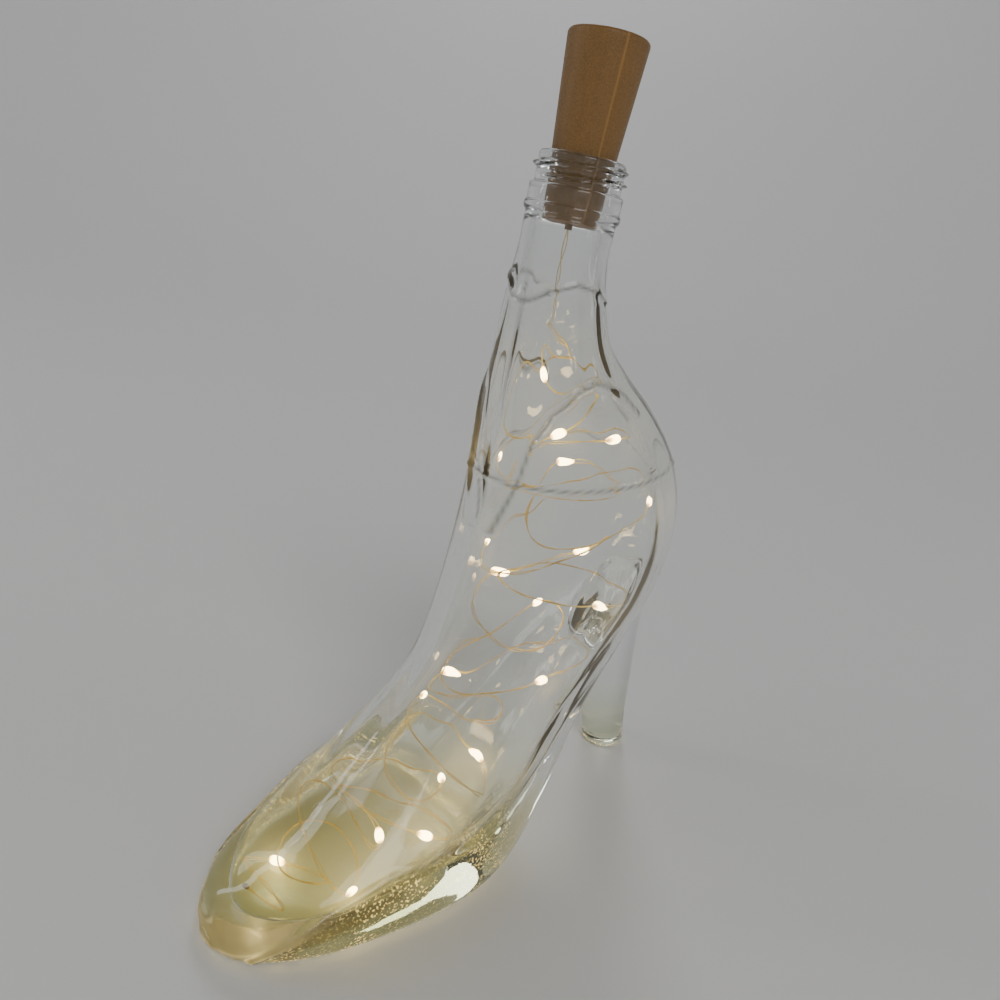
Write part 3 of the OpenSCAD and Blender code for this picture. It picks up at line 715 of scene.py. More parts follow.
def smooth_rows(table: Array, at: Array) -> Array:
    """Rows of a table at places between them, on a Catmull-Rom curve.

    Past either end the table goes on straight. With the rows a, b, c, d round a
    place and s its share from b to c, the row is b + s (c - a) / 2 +
    s^2 (2a - 5b + 4c - d) / 2 + s^3 (3b - a - 3c + d) / 2.

    Args:
        table: the rows.
        at: places, counted in rows.

    Returns:
        One row for each place.
    """
    longer = np.concatenate([2 * table[:1] - table[1:2], table, 2 * table[-1:] - table[-2:-1]])
    i = np.clip(np.floor(at).astype(int), 0, len(table) - 2)
    s = (at - i)[:, None]
    a, b, c, d = (longer[i + k] for k in range(4))
    return (
        b + s * (c - a) / 2
        + s**2 * (2 * a - 5 * b + 4 * c - d) / 2
        + s**3 * (3 * b - a - 3 * c + d) / 2
    )


def unit(v: Array) -> Array:
    """Vectors brought to length one."""
    return v / np.maximum(np.linalg.norm(v, axis=-1, keepdims=True), 1e-12)


def lengths(path: Array) -> Array:
    """How far each point lies from the first one, along the path."""
    steps = np.linalg.norm(np.diff(path, axis=0), axis=1)
    return np.concatenate([[0], np.cumsum(steps)])


def square_axes(path: Array, side: Array) -> tuple[Array, Array]:
    """Two axes at each point that are square to the path and to each other.

    They are the part of `side` that is square to the path's way, and the cross
    product of the way and that axis.

    Args:
        path: the middle line.
        side: a vector at each point that isn't along the path.

    Returns:
        Both axes, of length one.
    """
    way = unit(np.gradient(path, axis=0))
    first = unit(side - way * np.einsum("ij,ij->i", side, way)[:, None])
    return first, np.cross(way, first)


def tube_rings(path: Array, side: Array, radius: float, sides: int) -> Array:
    """Round rings square to a path: radius (cos a, sin a) along its two axes.

    Args:
        path: the middle line.
        side: a vector at each point that isn't along the path.
        radius: the tube's radius, in the path's unit.
        sides: how many points go round.

    Returns:
        Places of shape (points, sides, 3).
    """
    first, second = square_axes(path, side)
    a = circle(sides)
    return path[:, None] + radius * (
        np.cos(a)[None, :, None] * first[:, None] + np.sin(a)[None, :, None] * second[:, None]
    )


def point_values(piece: bpy.types.Object, name: str, values: Array) -> None:
    """Store one number for each point of a mesh, for its material to read."""
    made = piece.data.attributes.new(name, "FLOAT", "POINT")
    made.data.foreach_set("value", values.astype(np.float32))


def known(points: Array, others: Array) -> Array:
    """Which points are also among others, to a thousandth of a millimetre."""

    def keys(rows: Array) -> Array:
        """One whole number for each place."""
        k = np.round(rows * 1e6).astype(np.int64)
        return (k[:, 0] * KEY_STEP + k[:, 1]) * KEY_STEP + k[:, 2]

    return np.isin(keys(points), keys(others))


def points_of(piece: bpy.types.Object) -> Array:
    """The places of a mesh's points, in metres."""
    flat = np.zeros(len(piece.data.vertices) * 3, np.float32)
    piece.data.vertices.foreach_get("co", flat)
    return flat.reshape(-1, 3).astype(float)


def settle(
    piece: bpy.types.Object, finish: Finish, body: Optional[Body], *nodes: str
) -> bpy.types.Object:
    """Give a new piece its finish, its body and the nodes that it stands for.

    Args:
        piece: the mesh object.
        finish: its finish.
        body: the body that it rides on, or None.
        nodes: the nodes of the frame that it replaces.

    Returns:
        The piece.
    """
    piece.data.materials.clear()
    piece.data.materials.append(finish.material())
    if nodes:
        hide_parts(*nodes)
    if body is not None:
        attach(piece, body.value)
    LOG.info("%s: %d points, %s", piece.name, len(piece.data.vertices), finish.name)
    return piece


# ---------------------------------------------------------------- the glass shoe


@dataclass(frozen=True)
class Ridge:
    """A raised line on the glass, as places in the side view from the neck's axis.

    It is `height` high over the half width `width`, and gets painted shade over `dark_width`.
    """

    places: Line
    width: float
    height: float
    dark_width: float
    dark: float = 1.0
    ends_at_arch: bool = False


@dataclass
class GlassShoe:
    """The clear glass bottle: shoe body, heel leg, neck finish and thread.

    Lengths are in millimetres, and shares follow the length, height or width that
    their column names.
    """

    length: float = 208.0
    width: float = 70.0
    height: float = 224.5
    toe_to_neck: float = 95.0
    wall: float = 3.6
    sole: float = 17.0
    heel_tip_length: float = 21.0
    heel_tip_width: float = 19.0
    heel_edge: float = 2.4
    neck_r: float = 13.5
    bore_r: float = 9.5
    finish_height: float = 16.5
    bead_r: float = 14.35
    band_r: float = 13.85
    lip_r: float = 12.7
    thread_r: float = 14.0
    thread_pitch: float = 3.2
    thread_turns: float = 1.6
    gap: float = 0.3
    thread_start: float = 1.9
    thread_half: float = 0.8
    thread_fade: float = 0.12
    thread_low: float = 7.9
    bead_half: float = 1.45
    bead_root: float = 0.15
    band_ups: tuple[float, float, float] = (3.2, 7.1, 7.5)
    lip_ups: tuple[float, float] = (7.8, 8.0)
    lip_round: float = 1.2
    bore_round: float = 0.6
    ripple: float = 0.8
    ripple_from: float = 2.2
    easing: int = 14
    eased_from: float = 9.5
    eased_toe: float = 0.6
    eased_lift: float = 3.0
    grounded: float = 0.01
    tip_reach: float = 0.45
    tip_shares: tuple[float, ...] = (0.35, 0.7, 0.9)
    softening: int = 60
    softened_within: float = 0.011
    crease_samples: int = 400
    sharp_angle: float = 42.0
    insole_top: float = 0.034
    insole_fade: float = 0.008
    halo: float = 0.004
    rings: int = 360
    sides: int = 160
    hollow_rings: int = 190
    hollow_sides: int = 128
    heel_rings: int = 72
    heel_sides: int = 72
    # front along, front up, back along, back up, half width, squareness front, back
    sections: Array = field(default_factory=lambda: np.array([
        [0.389, 0.895, 0.531, 0.915, 0.43, 2, 2],
        [0.389, 0.812, 0.565, 0.855, 0.50, 2, 2],
        [0.390, 0.732, 0.627, 0.810, 0.60, 2, 2],
        [0.391, 0.652, 0.726, 0.750, 0.72, 2, 2],
        [0.390, 0.573, 0.820, 0.672, 0.82, 2, 2],
        [0.383, 0.497, 0.880, 0.569, 0.87, 2, 2],
        [0.367, 0.425, 0.878, 0.450, 0.82, 2, 2.2],
        [0.341, 0.352, 0.809, 0.337, 0.74, 2, 2.6],
        [0.306, 0.291, 0.707, 0.226, 0.75, 2, 3.2],
        [0.266, 0.232, 0.602, 0.108, 0.90, 2, 4],
        [0.222, 0.183, 0.486, 0.015, 1.00, 2, 6],
        [0.176, 0.145, 0.367, -0.005, 0.99, 2, 8],
        [0.125, 0.113, 0.251, -0.005, 0.89, 2, 8],
        [0.074, 0.086, 0.148, -0.005, 0.74, 2, 7],
        [0.032, 0.063, 0.069, -0.005, 0.53, 2, 5],
        [0.008, 0.038, 0.024, -0.002, 0.33, 2, 3],
        [0, 0.022, 0.001, 0.005, 0.12, 2, 2],
    ]))
    floors: tuple[float, ...] = (
        0, 0, 0, 0, 0, 0, 0.2, 0.3, 0.45, 0.7, 0.95, 1, 0.85, 0.62, 0.46, 0.4, 0.4
    )
    neck_ups: tuple[float, ...] = (0.02, -0.004, -0.042)
    welt: Line = (
        (-88, 3), (-85, 6.5), (-78, 12.5), (-70, 17), (-50, 25), (-31, 29), (30.6, 47.6)
    )
    welt_gap: float = 1.9
    arch: float = 10.0
    arch_fade: float = 20.0
    sole_fade: float = 1.5
    sole_clear: float = 2.5
    topline: Ridge = Ridge((
        (-13.5, 128), (-11, 146), (-10, 159), (-7, 169), (-1, 177), (5, 180),
        (12, 179), (20, 176.5), (30, 170),
    ), 1.0, 1.1, 0.62)
    seam: Ridge = Ridge(((-16, 145), (20, 147), (60, 150), (92, 145)), 0.8, 0.5, 0.496)
    ankle: Ridge = Ridge(
        ((-15, 199), (-12, 204), (-6, 207), (1, 206), (8, 203)), 0.9, 0.7, 0.558
    )
    cavity_first: float = -0.2
    cavity_round: float = 15.2
    cavity_end: float = 17.2
    # front, back, up, width as shares of length, length, height and heel tip width
    heel_shares: tuple[tuple[float, float, float, float], ...] = (
        (0.870, 0.972, 0.09, 1.02),
        (0.842, 0.951, 0.18, 1.06),
        (0.790, 0.931, 0.27, 1.15),
        (0.730, 0.914, 0.34, 1.35),
        (0.680, 0.896, 0.40, 1.65),
        (0.660, 0.877, 0.46, 1.75),
    )

    def __post_init__(self) -> None:
        """Work out the tables that the surfaces read."""
        shoe = self.sections * [
            self.length, self.height, self.length, self.height, self.width / 2, 1, 1
        ]
        shoe[:, [0, 2]] -= self.toe_to_neck
        neck = np.array([
            [-self.neck_r, self.height * (1 + up), self.neck_r, self.height * (1 + up),
             self.neck_r, 2, 2] for up in self.neck_ups
        ])
        self.rows = np.concatenate([neck, shoe])
        count = len(self.neck_ups)
        self.below = np.array([0.0] * count + [share * self.sole for share in self.floors])
        self.walls = np.array(
            [self.neck_r - self.bore_r - self.gap] * count + [self.wall] * len(self.floors)
        )
        lower = tuple((along, up - self.welt_gap) for along, up in self.welt)
        self.ridges = (
            Ridge(self.welt, 0.9, 0.8, 0.55, ends_at_arch=True),
            Ridge(lower, 0.8, 0.45, 0.5, 0.8, ends_at_arch=True),
            self.topline,
            self.seam,
            self.ankle,
        )
        self.neck_x = self.toe_to_neck - self.length / 2
        self.mouth = self.height + self.finish_height

    def section(self, rows: Array, sides: int) -> Array:
        """Rings of the loft.

        At angle a, the share of the chord from the front is (1 - cos a) / 2 and the
        share of the half width is sin a, both raised to 2 over the squareness with
        their sign kept. What would lie below the ground is brought up to it.

        Args:
            rows: front, back, half width and squareness of each ring.
            sides: how many points go round.

        Returns:
            Places of shape (rows, sides, 3), in millimetres from the neck's axis.
        """
        a = circle(sides)
        cos, sin = np.cos(a)[None], np.sin(a)[None]
        power = 2 / np.where(cos >= 0, rows[:, 5:6], rows[:, 6:7])
        chord = (1 - np.sign(cos) * np.abs(cos) ** power) / 2
        side = np.sign(sin) * np.abs(sin) ** power
        front_up, back_up = rows[:, 1:2], rows[:, 3:4]
        fall = np.where(back_up < 0, front_up - back_up, 1.0)
        chord = np.minimum(chord, np.where(back_up < 0, front_up / fall, 1.0))
        return np.stack([
            rows[:, 0:1] + (rows[:, 2:3] - rows[:, 0:1]) * chord,
            -rows[:, 4:5] * side,
            front_up + (back_up - front_up) * chord,
        ], -1)

    def cavity_rows(self, at: Array) -> Array:
        """Rows of the cavity, moved in from the outer front and back lines.

        Both lines are moved square to themselves: the front by the wall, the back by
        the wall or by the sole's glass. The half width is that of the outer section
        at the new chord's middle, less the wall. Towards the toe it rounds off as a
        quarter of an ellipse.

        Args:
            at: places, counted in rows.

        Returns:
            Front, back, half width and squareness at each place.
        """
        outer = smooth_rows(self.rows, at)
        step = smooth_rows(self.rows, at + 0.05) - smooth_rows(self.rows, at - 0.05)
        front_way, back_way = unit(step[:, 0:2]), unit(step[:, 2:4])
        wall = smooth_rows(self.walls[:, None], at)
        below = np.maximum(wall, smooth_rows(self.below[:, None], at))
        across = np.array([[-1.0, 1.0]])
        front = outer[:, 0:2] + wall * front_way[:, ::-1] * across
        lifted = np.stack([outer[:, 2], np.maximum(0, outer[:, 3])], -1)
        back = lifted - below * back_way[:, ::-1] * across
        middle, half = (front + back) / 2, (back - front) / 2
        chord = outer[:, 2:4] - outer[:, 0:2]
        share = np.einsum("ij,ij->i", middle - outer[:, 0:2], chord) / np.einsum(
            "ij,ij->i", chord, chord
        )
        power = np.where(share < 0.5, outer[:, 5], outer[:, 6])
        off = np.minimum(1, np.abs(1 - 2 * share))
        half_width = outer[:, 4] * (1 - off**power) ** (1 / power)
        past = np.maximum(0, at - self.cavity_round) / (self.cavity_end - self.cavity_round)
        rounding = np.sqrt(np.maximum(0.0001, 1 - past**2))[:, None]
        room = np.maximum(0, half_width - wall[:, 0])[:, None] * rounding
        squareness = np.stack([np.full(len(at), 2.0), np.minimum(outer[:, 6], 3)], -1)
        return np.concatenate(
            [middle - half * rounding, middle + half * rounding, room, squareness], 1
        )

    def raised(self, points: Array, ridge: Ridge, width: float, height: float) -> Array:
        """How far a ridge lifts each point: height exp(-(distance / width)^2).

        The distance is measured in the side view, to the nearest stretch of the
        ridge. A ridge that ends at the arch fades out there.

        Args:
            points: places of shape (..., 3).
            ridge: the ridge.
            width: its half width.
            height: its height.

        Returns:
            The lift at each place, in the unit of the height.
        """
        flat = points[..., [0, 2]].reshape(-1, 1, 2)
        line = np.array(ridge.places, float)
        a, b = line[None, :-1], line[None, 1:]
        along = b - a
        share = np.clip(((flat - a) * along).sum(-1) / (along**2).sum(-1), 0, 1)
        near = np.linalg.norm(flat - a - share[..., None] * along, axis=-1).min(1)
        lift = (height * np.exp(-((near / width) ** 2))).reshape(points.shape[:-1])
        return lift * self.before_arch(points) if ridge.ends_at_arch else lift

    def before_arch(self, points: Array) -> Array:
        """Share from 1 on the forefoot to 0 behind the start of the arch."""
        return np.clip((self.arch - points[..., 0]) / self.arch_fade, 0, 1)

    def outer_rings(self) -> Array:
        """Rings of the outside, from the toe up the neck and over the finish.

        The ridges lift the loft's surface along its own outward way.

        Returns:
            Places of shape (rings, sides, 3), in millimetres from the neck's axis.
        """
        last = len(self.rows) - 1
        at = np.linspace(last, 1.0, self.rings)
        rings = self.section(smooth_rows(self.rows, at), self.sides)
        toe = rings[0]
        middle = toe.mean(0)
        turn = np.array(self.tip_shares)[:, None, None]
        tip = middle + (toe - middle) * turn - [[[self.tip_reach, 0, 0]]] * np.sqrt(1 - turn**2)
        rings = np.concatenate([tip, rings])
        at = np.concatenate([np.full(len(tip), float(last)), at])
        outward = unit(np.cross(
            np.roll(rings, -1, 1) - np.roll(rings, 1, 1), np.gradient(rings, axis=0)
        ))
        centre = rings.mean(1, keepdims=True)
        facing = np.einsum("ijk,ijk->ij", outward, rings - centre)
        outward *= np.where(facing < 0, -1.0, 1.0)[..., None]
        rings = self.eased(rings, at, last)
        lift = sum(
            self.raised(rings, ridge, ridge.width, ridge.height) for ridge in self.ridges
        )
        lift *= rings[..., 2] > self.grounded
        return rings + outward * lift[..., None]

    def eased(self, rings: Array, at: Array, last: float) -> Array:
        """Round the sole's hard edges by moving points to their neighbours' mean.

        Args:
            rings: rings of the outside.
            at: the row of each ring.
            last: the last row.

        Returns:
            The rings, softer where the shoe has its sole.
        """
        weight = np.clip((at - self.eased_from) / 2, 0, 1)
        weight = weight * np.clip((last - at) / self.eased_toe, 0, 1)
        soft = rings.copy()
        for _ in range(self.easing):
            around = (np.roll(soft, 1, 1) + np.roll(soft, -1, 1)) / 2
            along = soft.copy()
            along[1:-1] = (soft[:-2] + soft[2:]) / 2
            soft += 0.5 * weight[:, None, None] * ((around + along) / 2 - soft)
        up = soft[..., 2]
        sunk = rings[..., 2] < self.grounded
        soft[..., 2] = np.where(sunk, np.minimum(up, self.eased_lift), up)
        return soft

    def finish_profile(self) -> Array:
        """Radius and height of the neck finish, from its underside to the mouth."""
        base, top = self.height, self.mouth
        (low, high, edge), (foot, lip) = self.band_ups, self.lip_ups
        a = np.radians(np.linspace(0, 90, 9))
        bead = np.radians(np.linspace(-80, 80, 11))
        return np.concatenate([
            [[self.neck_r, base - 4], [self.neck_r, base - 0.3]],
            np.stack([
                self.neck_r + self.bead_root
                + (self.bead_r - self.neck_r - self.bead_root) * np.cos(bead),
                base + self.bead_half + self.bead_half * np.sin(bead),
            ], -1),
            [[self.band_r, base + low], [self.band_r, base + high],
             [self.band_r - 0.25, base + edge], [self.lip_r + 0.1, base + foot]],
            np.stack([
                np.full(34, self.lip_r), np.linspace(base + lip, top - 1.25, 34)
            ], -1),
            np.stack([
                self.lip_r - self.lip_round * (1 - np.cos(a)),
                top - self.lip_round * (1 - np.sin(a)),
            ], -1),
        ])

    def threaded(self, rings: Array) -> Array:
        """Lift the wall of the finish along its thread.

        At the angle a from the thread's start, turn n, the ridge's middle lies at
        start + pitch (a / 360 + n) below the mouth. The lift is a rounded hump on it,
        and fades over an eighth of the thread's length at both ends.

        Args:
            rings: rings of the finish.

        Returns:
            The same rings with the thread.
        """
        x, y, z = rings[..., 0], rings[..., 1], rings[..., 2]
        turn = np.mod(-np.arctan2(y, x) / (2 * np.pi), 1.0)
        lift = np.zeros_like(z)
        for n in range(math.ceil(self.thread_turns) + 1):
            place = turn + n
            share = place / self.thread_turns
            middle = self.mouth - self.thread_start - self.thread_pitch * place
            fade = np.clip(np.minimum(share, 1 - share) / self.thread_fade, 0, 1)
            hump = np.clip(1.25 - np.abs(z - middle) / self.thread_half, 0, 1)
            lift = np.maximum(lift, hump * fade * (self.thread_r - self.lip_r))
        wall = (z > self.height + self.thread_low) & (z < self.mouth - 0.2)
        reach = np.where(wall, lift, 0.0)
        r = np.maximum(np.hypot(x, y), 1e-6)
        return np.stack([x * (r + reach) / r, y * (r + reach) / r, z], -1)

    def outside(self) -> bpy.types.Object:
        """The solid outside of body and neck, closed at toe and mouth."""
        loft = self.outer_rings()
        loft = loft[loft[..., 2].mean(1) < self.height - 5]
        neck = turned_rings(self.finish_profile(), self.sides, (0, 0, 0))
        rings = np.concatenate([loft, self.threaded(neck)])
        rings[..., 0] += self.neck_x
        return mesh_piece("glass_shoe", *capped_scaled(rings))

    def heel(self) -> bpy.types.Object:
        """The heel leg: oval slices from its rounded foot up into the shoe.

        A slice at height z is an oval between its front and its back line, and its
        corners round in at the foot as a quarter circle.

        Returns:
            The closed leg.
        """
        back = self.length - self.toe_to_neck
        tip = self.heel_tip_length
        table = [[back - tip, back, self.heel_edge, self.heel_tip_width]] + [
            [f * self.length - self.toe_to_neck, b * self.length - self.toe_to_neck,
             up * self.height, w * self.heel_tip_width]
            for f, b, up, w in self.heel_shares
        ]
        leg = smooth_rows(np.array(table), np.linspace(0, len(table) - 1, self.heel_rings))
        a = np.radians(np.linspace(0, 90, 7))[:-1]
        foot = np.repeat(leg[:1], len(a), 0)
        inset = self.heel_edge * (1 - np.sin(a))
        foot[:, 0] += inset
        foot[:, 1] -= inset
        foot[:, 2] = self.heel_edge * (1 - np.cos(a))
        foot[:, 3] -= 2 * inset
        rows = np.concatenate([foot, leg])
        turn = circle(self.heel_sides)
        middle, half = (rows[:, :1] + rows[:, 1:2]) / 2, (rows[:, 1:2] - rows[:, :1]) / 2
        rings = np.stack([
            middle + half * np.cos(turn) + self.neck_x,
            rows[:, 3:4] / 2 * np.sin(turn),
            rows[:, 2:3] + 0 * turn,
        ], -1)
        return mesh_piece("glass_heel", *capped_scaled(rings))

    def rippled(self, rings: Array, at: Array) -> Array:
        """Draw the cavity's wall in along slow upright ripples, as in blown glass.

        The wall comes in by ripple (1 + cos(5a + w1) cos(3a + w2)) / 2, with a the
        angle and both phases drifting up the shoe. It fades out at the neck.

        Args:
            rings: rings of the cavity.
            at: the row of each ring.

        Returns:
            The same rings with the ripples.
        """
        a = circle(rings.shape[1])[None]
        t = at[:, None]
        wave = np.cos(5 * a + 0.5 * np.sin(0.5 * t)) * np.cos(3 * a + 1 + 0.25 * t)
        wave = wave + 0.6 * np.cos(11 * a + 2 + 0.3 * np.sin(0.8 * t))
        centre = rings.mean(1, keepdims=True)
        inward = unit(centre - rings)
        fade = np.clip((t - self.ripple_from) / 1.5, 0, 1)
        fade = fade * np.clip((self.cavity_round - t) / 2, 0, 1)
        return rings + inward * (self.ripple * (1 + wave) / 2 * fade)[..., None]

    def hollow(self) -> bpy.types.Object:
        """The space inside: bore, neck and cavity, closed above the mouth."""
        at = np.linspace(self.cavity_end - 0.002, self.cavity_first + 1.3, self.hollow_rings)
        body = self.rippled(self.section(self.cavity_rows(at), self.hollow_sides), at)
        body = body[body[..., 2].mean(1) < self.height - 3]
        a = np.radians(np.linspace(0, 90, 6))
        wide = self.neck_r - self.walls[0]
        profile = np.concatenate([
            [[wide, self.height - 2.2], [wide - 0.1, self.height - 0.6],
             [self.bore_r, self.height + 0.6]],
            np.stack([np.full(5, self.bore_r),
                      np.linspace(self.height + 2, self.mouth - 0.9, 5)], -1),
            np.stack([self.bore_r + self.bore_round * (1 - np.cos(a)),
                      self.mouth - self.bore_round + self.bore_round * np.sin(a)], -1),
            [[self.bore_r + 0.7, self.mouth + 1.0]],
        ])
        rings = np.concatenate([body, turned_rings(profile, self.hollow_sides, (0, 0, 0))])
        rings[..., 0] += self.neck_x
        return mesh_piece("glass_hollow", *capped_scaled(rings))

    def build(self, lights: Array) -> bpy.types.Object:
        """Join body and heel, soften their joint, and take the hollow out.

        A light at the distance d lights a point by halo^2 / (d^2 + halo^2).

        Args:
            lights: the places of the lights, in millimetres.

        Returns:
            The finished glass.
        """
        shoe, heel, hollow = self.outside(), self.heel(), self.hollow()
        before, inside = points_of(shoe), points_of(hollow)
        combine(shoe, heel, "UNION")
        self.soften(shoe, heel, before)
        combine(shoe, hollow, "DIFFERENCE")
        for spare in (heel, hollow):
            bpy.data.objects.remove(spare)
        shoe.data.set_sharp_from_angle(angle=math.radians(self.sharp_angle))
        points = points_of(shoe)
        inner = known(points, inside)
        LOG.info("glass: %d of %d points are inside", inner.sum(), len(points))
        facing = np.zeros(len(points) * 3, np.float32)
        shoe.data.vertex_normals.foreach_get("vector", facing)
        up = facing.reshape(-1, 3)[:, 2]
        low = np.clip((self.insole_top - points[:, 2]) / self.insole_fade, 0, 1)
        floor = np.clip((up - 0.6) / 0.3, 0, 1) * low
        # how much of the string's light reaches each inner point, for the painted glow
        near = np.linalg.norm(points[:, None] - lights[None] * MM, axis=-1) ** 2
        lit = (self.halo**2 / (near + self.halo**2)).sum(1)
        sole, line = self.marks(points / MM - [[self.neck_x, 0, 0]])
        # the sole's side, for its painted shade and painted glints
        point_values(shoe, "sole", np.where(inner, 0.0, sole))
        # where the painted shade of the raised lines falls
        point_values(shoe, "line", np.where(inner, 0.0, line))
        point_values(shoe, "foot", np.where(inner, 0.0, 1.0))
        point_values(shoe, "panel", np.where(inner, floor, 0.0))
        point_values(shoe, "lit", np.where(inner, lit, 0.0))
        return settle(shoe, GLASS, Body.BOTTLE, "glass_bottle")

    def marks(self, points: Array) -> tuple[Array, Array]:
        """How much each point belongs to the sole's side, and to a raised line, both of which
        get painted shade.

        The sole's side lies under the welt and fades out just over the ground.

        Args:
            points: places in millimetres from the neck's axis.

        Returns:
            Both shares, from 0 to 1.
        """
        welt = np.array(self.welt, float)
        top = np.interp(points[:, 0], welt[:, 0], welt[:, 1])
        sole = np.clip((top - points[:, 2]) / self.sole_fade, 0, 1)
        sole = sole * np.clip(points[:, 2] - self.sole_clear, 0, 1)
        line = sum(
            self.raised(points, ridge, ridge.dark_width, ridge.dark) for ridge in self.ridges
        )
        return sole * self.before_arch(points), np.clip(line, 0, 1)

    def soften(
        self, shoe: bpy.types.Object, heel: bpy.types.Object, before: Array
    ) -> None:
        """Round the crease where the heel leg runs into the shoe.

        Points within reach of a crease edge move again and again to the mean of
        their neighbours, less the further from the crease they lie.

        Args:
            shoe: the joined mesh.
            heel: the leg that was joined, for its box.
            before: the shoe's points before the leg came in.
        """
        mesh = shoe.data
        points = points_of(shoe)
        edges = np.zeros(len(mesh.edges) * 2, np.int64)
        mesh.edges.foreach_get("vertices", edges)
        edges = edges.reshape(-1, 2)
        new = ~known(points, np.concatenate([before, points_of(heel)]))
        crease = points[new]
        if len(crease) == 0:
            return
        step = max(1, len(crease) // self.crease_samples)
        near = np.full(len(points), 1.0)
        reach = self.softened_within + 0.004
        local = np.nonzero(
            (points[:, 0] > crease[:, 0].min() - reach)
            & (points[:, 2] > crease[:, 2].min() - reach)
            & (points[:, 2] < crease[:, 2].max() + reach)
        )[0]
        near[local] = np.linalg.norm(
            points[local][:, None] - crease[::step][None], axis=-1
        ).min(1)
        weight = np.clip(1 - near / self.softened_within, 0, 1)[:, None] ** 0.7
        degree = np.bincount(edges.ravel(), minlength=len(points))[:, None]
        for _ in range(self.softening):
            total = np.zeros_like(points)
            np.add.at(total, edges[:, 0], points[edges[:, 1]])
            np.add.at(total, edges[:, 1], points[edges[:, 0]])
            points += 0.6 * weight * (total / np.maximum(degree, 1) - points)
        mesh.vertices.foreach_set("co", points.astype(np.float32).ravel())
        mesh.update()


def combine(piece: bpy.types.Object, tool: bpy.types.Object, operation: str) -> None:
    """Join or cut a closed mesh with another, and keep the result in its mesh.

    Args:
        piece: the mesh that changes.
        tool: the other mesh.
        operation: UNION or DIFFERENCE.
    """
    change = piece.modifiers.new("joined", "BOOLEAN")
    change.operation = operation
    change.object = tool
    change.solver = "MANIFOLD"
    graph = bpy.context.evaluated_depsgraph_get()
    made = bpy.data.meshes.new_from_object(piece.evaluated_get(graph))
    piece.modifiers.clear()
    old = piece.data
    piece.data = made
    bpy.data.meshes.remove(old)
    made.polygons.foreach_set("use_smooth", np.ones(len(made.polygons), bool))


# ---------------------------------------------------------------- the light string


